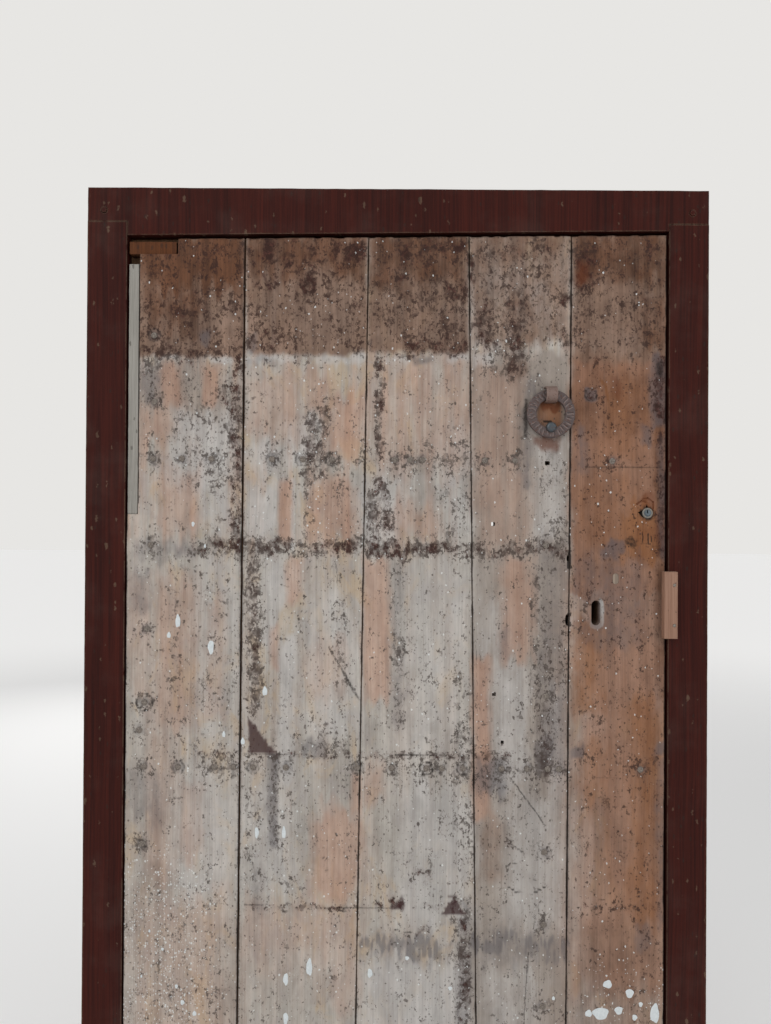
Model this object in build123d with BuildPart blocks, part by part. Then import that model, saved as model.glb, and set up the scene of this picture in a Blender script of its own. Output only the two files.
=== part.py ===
from build123d import *
from math import hypot, radians, sqrt, sin, cos
import os

os.makedirs("parts", exist_ok=True)

# Frame: X to the right seen from outside, Y into the house, Z up, origin under the frame's middle.
frame_depth = 70.0
frame_face = 70.0
lip_depth = 27.0
rebate_width = 12.0
head_height = 60.0
threshold_height = 30.0
tenon_thick = 20.0
tenon_reach = 40.0
peg_radius = 5.0
peg_proud = 1.5
tenon_margin = 8.0
threshold_round = 6.0

# Leaf: five boards, their widths at the top, and how far each seam has wandered at the foot.
leaf_height = 1864.0
board_widths = [205.0, 218.0, 177.0, 181.0, 167.0]
seam_drifts = [-7.0, -20.0, 26.0, -5.0]
seam_gaps = [3.0, 1.6, 1.6, 2.0]
board_thick = 28.0
framing_thick = 44.0
tongue_thick = 8.0
tongue_reach = 8.0
out_of_level = 0.013

# Running gaps round the leaf.
hinge_gap = 3.0
lock_gap = 5.0
head_gap = 7.0
foot_gap = 8.0
stile_play = 3.0
set_back = 0.5

# Framed back of the leaf.
hinge_stile_width = 100.0
lock_stile_width = 238.0
end_rail_height = 80.0
ledge_height = 130.0
upper_ledge_drop = 393.0
lower_ledge_rise = 387.0
rail_tenon_thick = 14.0
shoulder = 10.0
fit_play = 0.2

# Wrought nails: distances from the leaf's hinge edge, or from the lock stile's inner edge for those in it and
# beside it, and heights above the middle ledge or below the top.
nail_head_radius = 5.5
nail_head_height = 1.6
nail_shank = 4.6
nail_clench = 16.0
upper_row = [45, 96, 148, 255, 309, 361, 471, 498, 520, 630, 683, 854]
middle_row = [33, 93, 158, 190, 225, 283, 408, 469, 530, 557, 594, 662]
middle_row_stile = [-17, 182, 19, 39]
hinge_column = [(42, 390), (37, 242), (33, 113), (24, 64), (31, -135)]
lock_column = [(14, 393), (16, 128), (14, -146), (13, -273), (12, -416)]
high_nails = [(46, 176), (47, 293)]
empty_hole = 7.0
empty_hole_round = 1.5
empty_holes = [(645, 430, 1.0), (648, 131, 1.0), (663, 46, 0.8)]
upper_row_hole = (16, -4, 1.3)
side_notches = [(777, 370, 5.0, 12.0), (776, 262, 7.0, 20.0)]

# Repairs in the first and last boards.
patch_width = 84.0
patch_height = 23.0
patch_below_top = 3.0
patch_gap = 2.5
lath_width = 18.0
lath_length = 442.0
lath_gap = 1.5
lath_below_top = 43.0
repair_thick = 25.5
plug_width = 10.5
plug_height = 19.0
plug_depth = 20.0
plug_backset = 87.0
plug_from_row = 335.0
repair_round = 1.0
tongue_tip = 1.5

# Strap hinges.
pin_radius = 6.95
pin_play = 0.05
eye_wall = 5.0
eye_height = 40.0
eye_rest = 0.3
strap_length = 430.0
strap_tip = 24.0
strap_rise = 36.0
pintle_set = 10.0
pintle_plate_height = 84.0
pintle_shoulder = 28.0
pintle_ear = 12.0
pintle_screw_inset = 15.0
pin_above_eye = 6.0
pin_chamfer = 1.5
strap_root = 20.0
strap_screw_inset = 30.0
strap_screw_pitch = 100.0
screw_radius = 2.4
screw_head_radius = 5.0
screw_head_height = 2.2
screw_length = 32.0
screw_tip = 1.0

# Ring knocker.
ring_from_stile = 19.5
ring_rise = 115.5
ring_outer = 42.5
ring_inner = 25.0
ring_thick = 6.0
clasp_width = 20.0
clasp_thick = 2.6
clasp_clench = 26.0
ring_play = 0.4
ring_stand_off = 0.6
striker_drop = 24.0
striker_radius = 9.3
striker_height = 5.5
striker_lap = 1.0
striker_round = 4.5
striker_foot_radius = 7.0
rivet_radius = 3.0

# Keyhole and old rim lock.
key_backset = 121.0
key_rise = 274.5
key_slot_width = 16.5
key_slot_height = 44.0
lock_length = 185.0
lock_height = 120.0
lock_depth = 24.0
lock_rise = 10.0
plate_thick = 2.5
plate_margin = 15.0
sheet = 2.5
bolt_height = 22.0
bolt_thick = 12.0
bolt_length = 87.0
bolt_tail = 84.0
bolt_tail_height = 14.0
bolt_rise = 28.0
bolt_throw = 20.0
slide_play = 0.3
stud_radius = 3.0
post_radius = 2.5
spring_thick = 1.0
spring_foot = 10.0
spring_foot_length = 10.0
spring_reach = 44.0
spring_toe = 10.0
talon_width = 12.0
talon_depth = 4.0
talon_from_key = 8.0
case_round = 2.0
inner_gap = 1.5

# Rim cylinder lock.
cylinder_backset = 31.4
cylinder_rise = 176.5
cylinder_radius = 9.5
cylinder_proud = 0.5
cylinder_plug_radius = 6.2
cylinder_chamfer = 0.8
plug_recess = 0.6
key_slot_half = 0.9
key_slot_reach = 5.0
key_slot_below = 1.0
key_slot_depth = 26.0
turn_play = 0.05
latch_length = 90.0
latch_height = 62.0
latch_depth = 24.0
latch_margin = 13.0
tail_width = 8.0
tail_thick = 2.0
tail_in_plug = 10.0
plug_end_gap = 2.0
tail_end_gap = 1.0
cam_radius = 10.0
cam_pin_radius = 2.0
cam_thick = 4.0
cam_pin_wall = 1.6
cam_pin_gap = 1.0
cam_hub_radius = 6.0
cam_swing = 90.0
cam_slack = 0.65
spindle_radius = 5.0
rim_bolt_height = 14.0
rim_bolt_thick = 10.0
rim_bolt_length = 58.0
rim_bolt_rise = 4.5
knob_radius = 16.0
knob_length = 20.0
knob_neck_radius = 8.8
knob_neck_length = 8.0
knob_bore_depth = 14.0
knob_round = 4.8

# Keepers on the lock jamb.
keeper_set = 2.0
keeper_wall = 4.0
keeper_play = 0.6
keeper_ear = 20.0
keeper_plate = 3.0

# Stop block on the frame's face.
block_lap = 7.0
block_width = 24.0
block_length = 117.0
block_proud = 16.0
block_drop = 42.5
block_round = 1.5
block_nail_radius = 2.6
block_nail_reach = 28.0
block_nail_inset = 23.4

# Holes for the screws that fix each jamb to a wall.
wall_screw_radius = 4.5
wall_screw_rise = 300.0
wall_screw_drop = 202.0

# Small overrun that carries a cut clear through a face.
over = 1.0

# Places that follow from the sizes above.
front = -frame_depth / 2
back = frame_depth / 2
board_front = front + set_back
board_back = board_front + board_thick
leaf_back = board_back + framing_thick
lip_back = front + lip_depth
leaf_width = sum(board_widths)
lip = (leaf_width + hinge_gap + lock_gap) / 2
leaf_left = -lip + hinge_gap
leaf_right = lip - lock_gap
rebate = lip + rebate_width
stile_left = -rebate + stile_play
stile_right = rebate - stile_play
outer = lip + frame_face
leaf_foot = threshold_height + foot_gap
leaf_top = leaf_foot + leaf_height
seat = leaf_top + head_gap + out_of_level * lip + rebate_width
frame_top = seat + head_height
stile_top = seat - stile_play
hinge_stile_edge = stile_left + hinge_stile_width
lock_stile_edge = stile_right - lock_stile_width
upper_row_z = leaf_top - upper_ledge_drop
lower_row_z = leaf_foot + lower_ledge_rise
middle_row_z = (upper_row_z + lower_row_z) / 2
ledge_heights = [upper_row_z, middle_row_z, lower_row_z]
ledge_names = ["upper_ledge", "middle_ledge", "lower_ledge"]
eye_radius = pin_radius + pin_play + eye_wall
hinge_x = -rebate - pintle_set
hinge_y = leaf_back + eye_radius
key_height = middle_row_z + key_rise
cylinder_height = key_height + cylinder_rise
ring_axis_height = upper_row_z + ring_rise
block_foot = key_height - block_drop
band = ring_outer - ring_inner
band_middle = (ring_outer + ring_inner) / 2
band_sag = ring_inner - sqrt(ring_inner**2 - (clasp_width / 2) ** 2)
clasp_inner = hypot(band / 2 + band_sag, ring_thick / 2) + ring_play
clasp_outer = clasp_inner + clasp_thick
ring_x = lock_stile_edge + ring_from_stile
ring_y = board_front - hypot(band / 2, ring_thick / 2) - ring_stand_off
ring_centre = ring_axis_height - band_middle
key_x = leaf_right - key_backset
plate_back = leaf_back + plate_thick
lock_left = stile_right - lock_length
lock_centre = key_height + lock_rise
lock_back = plate_back + lock_depth
bolt_centre = key_height + bolt_rise
bolt_front = plate_back + (lock_depth - sheet - bolt_thick) / 2
bolt_back = bolt_front + bolt_thick
cylinder_x = leaf_right - cylinder_backset
latch_left = stile_right - latch_length
latch_back = plate_back + latch_depth
cam_back = latch_back - sheet - slide_play
cam_front = cam_back - cam_thick
rim_bolt_back = cam_front - slide_play
rim_bolt_front = rim_bolt_back - rim_bolt_thick
rim_bolt_foot = cylinder_height + rim_bolt_rise
rim_bolt_middle = rim_bolt_foot + rim_bolt_height / 2
cam_angle = radians(cam_swing / 2)
cam_x = cylinder_x - cam_radius * sin(cam_angle)
cam_z = cylinder_height + cam_radius * cos(cam_angle)
rim_bolt_throw = 2 * cam_radius * sin(cam_angle)


def facing(y):
    """A plane at depth y that faces outside: its own x is X and its own y is Z."""
    return Plane.XZ.offset(-y)


def slab(x0, x1, y0, y1, z0, z1, mode=Mode.ADD):
    """A box between two corners, in the part being built."""
    with Locations(((x0 + x1) / 2, (y0 + y1) / 2, (z0 + z1) / 2)):
        Box(x1 - x0, y1 - y0, z1 - z0, mode=mode)


def rod(places, radius, y0, y1, mode=Mode.ADD):
    """Round rods or holes along Y at (x, z) places."""
    with BuildSketch(facing(y0)) as circles:
        with Locations(*places):
            Circle(radius)
    extrude(circles.sketch, amount=y0 - y1, mode=mode)


def seam(i, z):
    """X of the seam between board i and the next at height z, where 0 and 5 are the leaf's edges."""
    x = leaf_left + sum(board_widths[:i])
    if 0 < i < len(board_widths):
        x += seam_drifts[i - 1] * (leaf_top - z) / leaf_height
    return x


def top_at(x):
    """Height of the boards' top edge, which follows the sagging head."""
    return leaf_top + out_of_level * x


def keep(piece, name):
    """Label a finished piece and write it."""
    piece.part.label = name
    export_step(piece.part, f"parts/{name}.step")


# Where the nails go: a third row, hidden below, repeats the first.
row_places = {
    "upper_nails": [(leaf_left + x, upper_row_z) for x in upper_row],
    "middle_nails": [(leaf_left + x, middle_row_z) for x in middle_row]
    + [(lock_stile_edge + x, middle_row_z) for x in middle_row_stile],
    "lower_nails": [(leaf_left + x, lower_row_z) for x in upper_row],
    "stile_nails": [(leaf_left + x, middle_row_z + z) for x, z in hinge_column]
    + [(lock_stile_edge + x, middle_row_z + z) for x, z in lock_column]
    + [(leaf_left + x, leaf_top - drop) for x, drop in high_nails],
}
nail_places = [place for places in row_places.values() for place in places]
hole_places = [(leaf_left + x, middle_row_z + z, scale) for x, z, scale in empty_holes]
hole_places.append((lock_stile_edge + upper_row_hole[0], upper_row_z + upper_row_hole[1], upper_row_hole[2]))
strap_heights = [upper_row_z + strap_rise, lower_row_z + strap_rise]
strap_screw_places = [
    (stile_left + strap_screw_inset + n * strap_screw_pitch, z) for z in strap_heights for n in range(4)
]
lock_screw_places = [
    (x, lock_centre + side * (lock_height + plate_margin) / 2)
    for x in (lock_left + plate_margin, stile_right - plate_margin)
    for side in (-1, 1)
]
latch_screw_places = [
    (x, cylinder_height + side * (latch_height + latch_margin) / 2)
    for x in (latch_left + latch_margin, stile_right - latch_margin)
    for side in (-1, 1)
]
leaf_screw_places = strap_screw_places + lock_screw_places + latch_screw_places


def nail_holes():
    """Square holes for every nail, through boards and framing alike."""
    with BuildSketch(facing(board_front)) as squares:
        with Locations(*nail_places):
            Rectangle(nail_shank + 2 * fit_play, nail_shank + 2 * fit_play)
    extrude(squares.sketch, amount=-(board_thick + framing_thick), mode=Mode.SUBTRACT)


def clasp_slots():
    """Two slots that the clasp's legs pass through."""
    middle = (clasp_inner + clasp_outer) / 2
    with BuildSketch(facing(board_front)) as slots:
        with Locations((ring_x, ring_axis_height + middle), (ring_x, ring_axis_height - middle)):
            Rectangle(clasp_width + 2 * fit_play, clasp_thick + 2 * fit_play)
    extrude(slots.sketch, amount=-(board_thick + framing_thick), mode=Mode.SUBTRACT)


def keyhole_cut(y0, y1, width, height):
    """An upright slot for the old lock's key."""
    with BuildSketch(facing(y0)) as slot:
        with Locations((key_x, key_height)):
            SlotOverall(height, width, rotation=90)
    extrude(slot.sketch, amount=y0 - y1, mode=Mode.SUBTRACT)


def cylinder_cut(y0, y1):
    """The rough hole round the cylinder, torn out to the left and above."""
    r = cylinder_radius + fit_play
    with BuildSketch(facing(y0)) as rough:
        with Locations((cylinder_x, cylinder_height)):
            Circle(r)
            Polygon((-1.75 * r, 0.15 * r), (-0.7 * r, -0.95 * r), (-0.6 * r, 0.65 * r), align=None)
            Polygon((-0.35 * r, 0.8 * r), (0.3 * r, 0.8 * r), (-0.2 * r, 1.6 * r), align=None)
    extrude(rough.sketch, amount=y0 - y1, mode=Mode.SUBTRACT)


def pintle_places(z):
    """The two screws of the pintle whose strap lies at height z."""
    top = z - eye_height / 2 - eye_rest
    x = hinge_x - eye_radius - pintle_ear
    return [(x, top - pintle_screw_inset), (x, top - pintle_plate_height + pintle_screw_inset)]


def screw_holes(places, seat_y):
    """Pilot holes for wood screws driven from the back, at (x, z) places."""
    rod(places, screw_radius + fit_play, seat_y - screw_length, seat_y, mode=Mode.SUBTRACT)


def screws(places, seat_y):
    """Wood screws with domed heads on a seat that faces the back."""
    rod(places, screw_radius, seat_y - screw_length + screw_tip, seat_y)
    with BuildSketch(facing(seat_y)) as heads:
        with Locations(*places):
            Circle(screw_head_radius)
    extrude(heads.sketch, amount=-screw_head_height, taper=35)


block_middle = (lip + leaf_right - block_lap + block_width) / 2
block_nail_places = [
    (block_middle, block_foot + block_nail_inset),
    (block_middle, block_foot + block_length - block_nail_inset),
]

# Frame.
for name, side in (("hinge_jamb", -1), ("lock_jamb", 1)):
    with BuildPart() as jamb:
        with BuildSketch():
            with Locations((side * (lip + frame_face / 2), 0)):
                Rectangle(frame_face, frame_depth)
            with Locations((side * (lip + rebate_width / 2), (lip_back + back) / 2)):
                Rectangle(rebate_width, back - lip_back, mode=Mode.SUBTRACT)
        extrude(amount=seat)
        tenon_middle = side * (rebate + outer) / 2
        tenon_half = (outer - rebate) / 2 - tenon_margin
        slab(tenon_middle - tenon_half, tenon_middle + tenon_half, -tenon_thick / 2, tenon_thick / 2,
             seat, seat + tenon_reach)
        rod([(tenon_middle, seat + tenon_reach / 2)], peg_radius + fit_play, front, back,
            mode=Mode.SUBTRACT)
        mortise = sorted((side * (lip - over), side * (rebate + tenon_reach / 2 + fit_play)))
        slab(*mortise, -tenon_thick / 2 - fit_play, tenon_thick / 2 + fit_play,
             threshold_height / 4 - fit_play, threshold_height * 3 / 4 + fit_play, mode=Mode.SUBTRACT)
        for z in (wall_screw_rise, leaf_top - wall_screw_drop):
            with BuildSketch(Plane.YZ.offset(side * rebate)):
                with Locations(((lip_back + back) / 2, z)):
                    Circle(wall_screw_radius)
            extrude(amount=side * (outer - rebate), mode=Mode.SUBTRACT)
        if side > 0:
            screw_x = rebate + keeper_set + (bolt_throw + keeper_wall) / 2
            for middle, half in ((bolt_centre, bolt_height / 2), (rim_bolt_middle, rim_bolt_height / 2)):
                reach = half + keeper_play + keeper_wall + keeper_ear / 2
                screw_holes([(screw_x, middle - reach), (screw_x, middle + reach)], back)
            rod(block_nail_places, block_nail_radius + fit_play, front,
                front + block_nail_reach + over, mode=Mode.SUBTRACT)
        else:
            for z in strap_heights:
                screw_holes(pintle_places(z), back)
    keep(jamb, name)

with BuildPart() as frame_head:
    slab(-outer, outer, front, back, seat, frame_top)
    with BuildSketch(facing(lip_back)):
        with BuildLine():
            Polyline((-lip, seat), (-lip, top_at(-lip) + head_gap), (lip, top_at(lip) + head_gap),
                     (lip, seat), close=True)
        make_face()
    extrude(amount=lip_depth)
    for side in (-1, 1):
        middle = side * (rebate + outer) / 2
        half = (outer - rebate) / 2 - tenon_margin + fit_play
        slab(middle - half, middle + half, -tenon_thick / 2 - fit_play, tenon_thick / 2 + fit_play,
             seat, seat + tenon_reach + fit_play, mode=Mode.SUBTRACT)
        rod([(middle, seat + tenon_reach / 2)], peg_radius + fit_play, front, back, mode=Mode.SUBTRACT)
keep(frame_head, "frame_head")

with BuildPart() as threshold:
    slab(-lip + fit_play, lip - fit_play, front, lip_back, 0, threshold_height)
    slab(-rebate + fit_play, rebate - fit_play, lip_back, back, 0, threshold_height)
    slab(-rebate - tenon_reach / 2, rebate + tenon_reach / 2, -tenon_thick / 2, tenon_thick / 2,
         threshold_height / 4, threshold_height * 3 / 4)
    fillet(threshold.edges().filter_by(Axis.X).group_by(Axis.Z)[-1].sort_by(Axis.Y)[0], threshold_round)
keep(threshold, "threshold")

with BuildPart() as frame_pegs:
    rod([(side * (rebate + outer) / 2, seat + tenon_reach / 2) for side in (-1, 1)],
        peg_radius, front - peg_proud, back)
keep(frame_pegs, "frame_pegs")

with BuildPart() as stop_block:
    slab(leaf_right - block_lap, leaf_right - block_lap + block_width, front - block_proud, front,
         block_foot, block_foot + block_length)
    fillet(stop_block.faces().sort_by(Axis.Y)[0].edges(), block_round)
    rod(block_nail_places, block_nail_radius + fit_play, front - block_proud, front, mode=Mode.SUBTRACT)
keep(stop_block, "stop_block")

with BuildPart() as stop_block_nails:
    rod(block_nail_places, block_nail_radius, front - block_proud, front + block_nail_reach)
keep(stop_block_nails, "stop_block_nails")

# Boards of the leaf, each with every hole and notch that falls on it.
patch_top = top_at(leaf_left) - patch_below_top
patch_foot = patch_top - patch_height
lath_top = top_at(leaf_left) - lath_below_top
tongue_front = board_front + (board_thick - tongue_thick) / 2
plug_x = leaf_right - plug_backset
plug_z = middle_row_z + plug_from_row

for i in range(len(board_widths)):
    gap_left = seam_gaps[i - 1] / 2 if i > 0 else 0.0
    gap_right = seam_gaps[i] / 2 if i < len(seam_gaps) else 0.0
    left = [(seam(i, z) + gap_left, z) for z in (leaf_foot, top_at(seam(i, leaf_top)))]
    right = [(seam(i + 1, z) - gap_right, z) for z in (leaf_foot, top_at(seam(i + 1, leaf_top)))]
    with BuildPart() as board:
        with BuildSketch(facing(board_back)):
            with BuildLine():
                Polyline(left[0], right[0], right[1], left[1], close=True)
            make_face()
        extrude(amount=board_thick)
        if gap_right:
            with BuildSketch(facing(tongue_front + tongue_thick)):
                with BuildLine():
                    Polyline(right[0], (right[0][0] + tongue_reach, right[0][1]),
                             (right[1][0] + tongue_reach, right[1][1]), right[1], close=True)
                make_face()
            extrude(amount=tongue_thick)
        if gap_left:
            with BuildSketch(facing(tongue_front + tongue_thick + slide_play)):
                with BuildLine():
                    Polyline((left[0][0] - over, left[0][1] - over),
                             (left[0][0] + tongue_reach + tongue_tip, left[0][1] - over),
                             (left[1][0] + tongue_reach + tongue_tip, left[1][1] + over),
                             (left[1][0] - over, left[1][1] + over), close=True)
                make_face()
            extrude(amount=tongue_thick + 2 * slide_play, mode=Mode.SUBTRACT)
        if i == 0:
            slab(leaf_left - over, leaf_left + patch_width + patch_gap, board_front - over,
                 board_back + over, patch_foot, top_at(leaf_left + patch_width) + over,
                 mode=Mode.SUBTRACT)
            slab(leaf_left - over, leaf_left + lath_width + lath_gap, board_front - over,
                 board_back + over, lath_top - lath_length, patch_foot + over, mode=Mode.SUBTRACT)
        nail_holes()
        if i >= 3:
            clasp_slots()
            keyhole_cut(board_front, board_back, key_slot_width, key_slot_height)
            cylinder_cut(board_front, board_back)
            with BuildSketch(facing(board_front)):
                for x, z, scale in hole_places:
                    with Locations((x, z)):
                        RectangleRounded(empty_hole * scale, empty_hole, empty_hole_round)
                for x, z, width, height in side_notches:
                    with Locations((leaf_left + x, middle_row_z + z)):
                        Ellipse(width / 2, height / 2)
            extrude(amount=-board_thick, mode=Mode.SUBTRACT)
            with BuildSketch(facing(board_front)):
                with Locations((plug_x, plug_z)):
                    SlotOverall(plug_height + 2 * fit_play, plug_width + 2 * fit_play, rotation=90)
            extrude(amount=-plug_depth, mode=Mode.SUBTRACT)
    keep(board, f"board_{i + 1}")

with BuildPart() as corner_patch:
    slab(leaf_left, leaf_left + patch_width, board_back - repair_thick, board_back, patch_foot, patch_top)
    fillet(corner_patch.faces().sort_by(Axis.Y)[0].edges(), repair_round)
keep(corner_patch, "corner_patch")

with BuildPart() as edge_lath:
    slab(leaf_left, leaf_left + lath_width, board_back - repair_thick, board_back,
         lath_top - lath_length, lath_top)
    fillet(edge_lath.faces().sort_by(Axis.Y)[0].edges(), repair_round)
keep(edge_lath, "edge_lath")

with BuildPart() as hole_plug:
    with BuildSketch(facing(board_front + plug_depth)):
        with Locations((plug_x, plug_z)):
            SlotOverall(plug_height, plug_width, rotation=90)
    extrude(amount=plug_depth)
keep(hole_plug, "hole_plug")

# Framed back.
mortise_thick = rail_tenon_thick / 2 + fit_play
framing_middle = (board_back + leaf_back) / 2
rails = {
    "top_rail": (stile_top - end_rail_height, stile_top),
    "bottom_rail": (leaf_foot, leaf_foot + end_rail_height),
}
for name, z in zip(ledge_names, ledge_heights):
    rails[name] = (z - ledge_height / 2, z + ledge_height / 2)

for name, x0, x1, inner in (
    ("hinge_stile", stile_left, hinge_stile_edge, -1),
    ("lock_stile", lock_stile_edge, stile_right, 1),
):
    with BuildPart() as stile:
        slab(x0, x1, board_back, leaf_back, leaf_foot, stile_top)
        for low, high in rails.values():
            if inner < 0:
                span = (x1 - tenon_reach - fit_play, x1 + over)
            else:
                span = (x0 - over, x0 + tenon_reach + fit_play)
            slab(*span, framing_middle - mortise_thick, framing_middle + mortise_thick,
                 low + shoulder - fit_play, high - shoulder + fit_play, mode=Mode.SUBTRACT)
        nail_holes()
        screw_holes(leaf_screw_places, leaf_back)
        if inner > 0:
            clasp_slots()
            keyhole_cut(board_back, leaf_back, key_slot_width, key_slot_height)
            cylinder_cut(board_back, leaf_back)
    keep(stile, name)

for name, (low, high) in rails.items():
    with BuildPart() as rail:
        slab(hinge_stile_edge, lock_stile_edge, board_back, leaf_back, low, high)
        slab(hinge_stile_edge - tenon_reach, lock_stile_edge + tenon_reach,
             framing_middle - rail_tenon_thick / 2, framing_middle + rail_tenon_thick / 2,
             low + shoulder, high - shoulder)
        nail_holes()
        clasp_slots()
        screw_holes(leaf_screw_places, leaf_back)
    keep(rail, name)

# Nails: square shanks, flat rose heads in front, tips clenched over at the back.
for name, places in row_places.items():
    with BuildPart() as nails:
        with BuildSketch(facing(board_front)):
            with Locations(*places):
                Circle(nail_head_radius)
        extrude(amount=nail_head_height, taper=40)
        with BuildSketch(facing(board_front)):
            with Locations(*places):
                Rectangle(nail_shank, nail_shank)
        extrude(amount=-(board_thick + framing_thick))
        with BuildSketch(facing(leaf_back)):
            with Locations(*[(x, z - (nail_clench - nail_shank) / 2) for x, z in places]):
                Rectangle(nail_shank, nail_clench)
        extrude(amount=-nail_shank / 2)
    keep(nails, name)

# Strap hinges on the back of the leaf, and the pintles that they hang on.
for name, z in zip(("upper_strap", "lower_strap"), strap_heights):
    with BuildPart() as strap:
        with BuildSketch(Plane.XY.offset(z - eye_height / 2)):
            with Locations((hinge_x, hinge_y)):
                Circle(eye_radius)
            with Locations(((hinge_x + stile_left + strap_root) / 2, leaf_back + eye_wall / 2)):
                Rectangle(stile_left + strap_root - hinge_x, eye_wall)
            with Locations((hinge_x, hinge_y)):
                Circle(pin_radius + pin_play, mode=Mode.SUBTRACT)
        extrude(amount=eye_height)
        with BuildSketch(facing(leaf_back)):
            with BuildLine():
                Polyline((stile_left, z - eye_height / 2), (stile_left + strap_length, z - strap_tip / 2),
                         (stile_left + strap_length, z + strap_tip / 2), (stile_left, z + eye_height / 2),
                         close=True)
            make_face()
            with Locations((stile_left + strap_length, z)):
                Circle(strap_tip * 0.7)
        extrude(amount=-eye_wall)
        rod([place for place in strap_screw_places if place[1] == z], screw_radius + fit_play,
            leaf_back, leaf_back + eye_wall, mode=Mode.SUBTRACT)
    keep(strap, name)

with BuildPart() as strap_screws:
    screws(strap_screw_places, leaf_back + eye_wall)
keep(strap_screws, "strap_screws")

pintle_screw_places = []
for name, z in zip(("upper_pintle", "lower_pintle"), strap_heights):
    top = z - eye_height / 2 - eye_rest
    places = pintle_places(z)
    pintle_screw_places += places
    with BuildPart() as pintle:
        slab(hinge_x - eye_radius - 2 * pintle_ear, hinge_x + eye_radius * 0.7, back, back + eye_wall,
             top - pintle_plate_height, top)
        with BuildSketch(Plane.XY.offset(top - pintle_shoulder)):
            with Locations((hinge_x, hinge_y)):
                Circle(eye_radius)
            with Locations((hinge_x - eye_radius * 0.15, (back + hinge_y) / 2)):
                Rectangle(eye_radius * 1.6, hinge_y - back)
        extrude(amount=pintle_shoulder)
        with BuildSketch(Plane.XY.offset(top)):
            with Locations((hinge_x, hinge_y)):
                Circle(pin_radius)
        extrude(amount=eye_height + pin_above_eye)
        chamfer(pintle.faces().sort_by(Axis.Z)[-1].edges(), pin_chamfer)
        rod(places, screw_radius + fit_play, back, back + eye_wall, mode=Mode.SUBTRACT)
    keep(pintle, name)

with BuildPart() as pintle_screws:
    screws(pintle_screw_places, back + eye_wall)
keep(pintle_screws, "pintle_screws")

# Ring knocker: a flat clasp bent round the ring's band, its legs through the door and clenched.
with BuildPart() as ring_clasp:
    with BuildSketch(Plane.YZ.offset(ring_x - clasp_width / 2)):
        with Locations((ring_y, ring_axis_height)):
            Circle(clasp_outer)
            Circle(clasp_inner, mode=Mode.SUBTRACT)
        with Locations((ring_y + clasp_outer, ring_axis_height)):
            Rectangle(2 * clasp_outer, 2 * (clasp_outer + over), mode=Mode.SUBTRACT)
        for side in (-1, 1):
            leg = ring_axis_height + side * (clasp_inner + clasp_outer) / 2
            with Locations(((ring_y + leaf_back) / 2, leg)):
                Rectangle(leaf_back - ring_y, clasp_thick)
            tip = ring_axis_height + side * (clasp_inner + clasp_clench / 2)
            with Locations((leaf_back + clasp_thick / 2, tip)):
                Rectangle(clasp_thick, clasp_clench)
    extrude(amount=clasp_width)
keep(ring_clasp, "ring_clasp")

with BuildPart() as knocker_ring:
    with BuildSketch(facing(ring_y + ring_thick / 2)):
        with Locations((ring_x, ring_centre)):
            Circle(ring_outer)
            Circle(ring_inner, mode=Mode.SUBTRACT)
        with Locations((ring_x, ring_centre - striker_drop)):
            Circle(striker_radius - striker_lap)
            Circle(rivet_radius + turn_play, mode=Mode.SUBTRACT)
    extrude(amount=ring_thick)
keep(knocker_ring, "knocker_ring")

with BuildPart() as striker_knob:
    knob_place = [(ring_x, ring_centre - striker_drop)]
    ring_front = ring_y - ring_thick / 2
    ring_back = ring_y + ring_thick / 2
    rod(knob_place, striker_radius, ring_front - striker_height, ring_front)
    fillet(striker_knob.faces().sort_by(Axis.Y)[0].edges(), striker_round)
    rod(knob_place, rivet_radius, ring_front, ring_back)
    rod(knob_place, striker_foot_radius, ring_back, board_front - slide_play)
keep(striker_knob, "striker_knob")

# Old rim lock on the back of the lock stile.
with BuildPart() as lock_plate:
    slab(lock_left, stile_right, leaf_back, plate_back, lock_centre - lock_height / 2 - plate_margin,
         lock_centre + lock_height / 2 + plate_margin)
    keyhole_cut(leaf_back, plate_back, key_slot_width / 2, key_slot_height * 0.7)
    rod(lock_screw_places, screw_radius + fit_play, leaf_back, plate_back, mode=Mode.SUBTRACT)
keep(lock_plate, "lock_plate")

with BuildPart() as lock_case:
    slab(lock_left, stile_right, plate_back, lock_back, lock_centre - lock_height / 2,
         lock_centre + lock_height / 2)
    fillet(lock_case.faces().sort_by(Axis.Y)[-1].edges(), case_round)
    slab(lock_left + sheet, stile_right - sheet, plate_back, lock_back - sheet,
         lock_centre - lock_height / 2 + sheet, lock_centre + lock_height / 2 - sheet, mode=Mode.SUBTRACT)
    slab(stile_right - 2 * sheet, stile_right + over, bolt_front - slide_play, bolt_back + slide_play,
         bolt_centre - bolt_height / 2 - slide_play, bolt_centre + bolt_height / 2 + slide_play,
         mode=Mode.SUBTRACT)
keep(lock_case, "lock_case")

tail_left = stile_right - bolt_length - bolt_tail
stud_x = tail_left + bolt_throw + 4 * stud_radius
with BuildPart() as lock_bolt:
    slab(stile_right - bolt_length, stile_right, bolt_front, bolt_back, bolt_centre - bolt_height / 2,
         bolt_centre + bolt_height / 2)
    slab(tail_left, stile_right - bolt_length, bolt_front, bolt_back,
         bolt_centre - bolt_tail_height / 2, bolt_centre + bolt_tail_height / 2)
    with BuildSketch(facing(bolt_front)):
        with Locations((stud_x - bolt_throw / 2, bolt_centre)):
            SlotOverall(bolt_throw + 2 * (stud_radius + slide_play), 2 * (stud_radius + slide_play))
    extrude(amount=-bolt_thick, mode=Mode.SUBTRACT)
    slab(key_x + talon_from_key, key_x + talon_from_key + talon_width, bolt_front, bolt_back,
         bolt_centre - bolt_tail_height / 2 - over, bolt_centre - bolt_tail_height / 2 + talon_depth,
         mode=Mode.SUBTRACT)
keep(lock_bolt, "lock_bolt")

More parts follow.
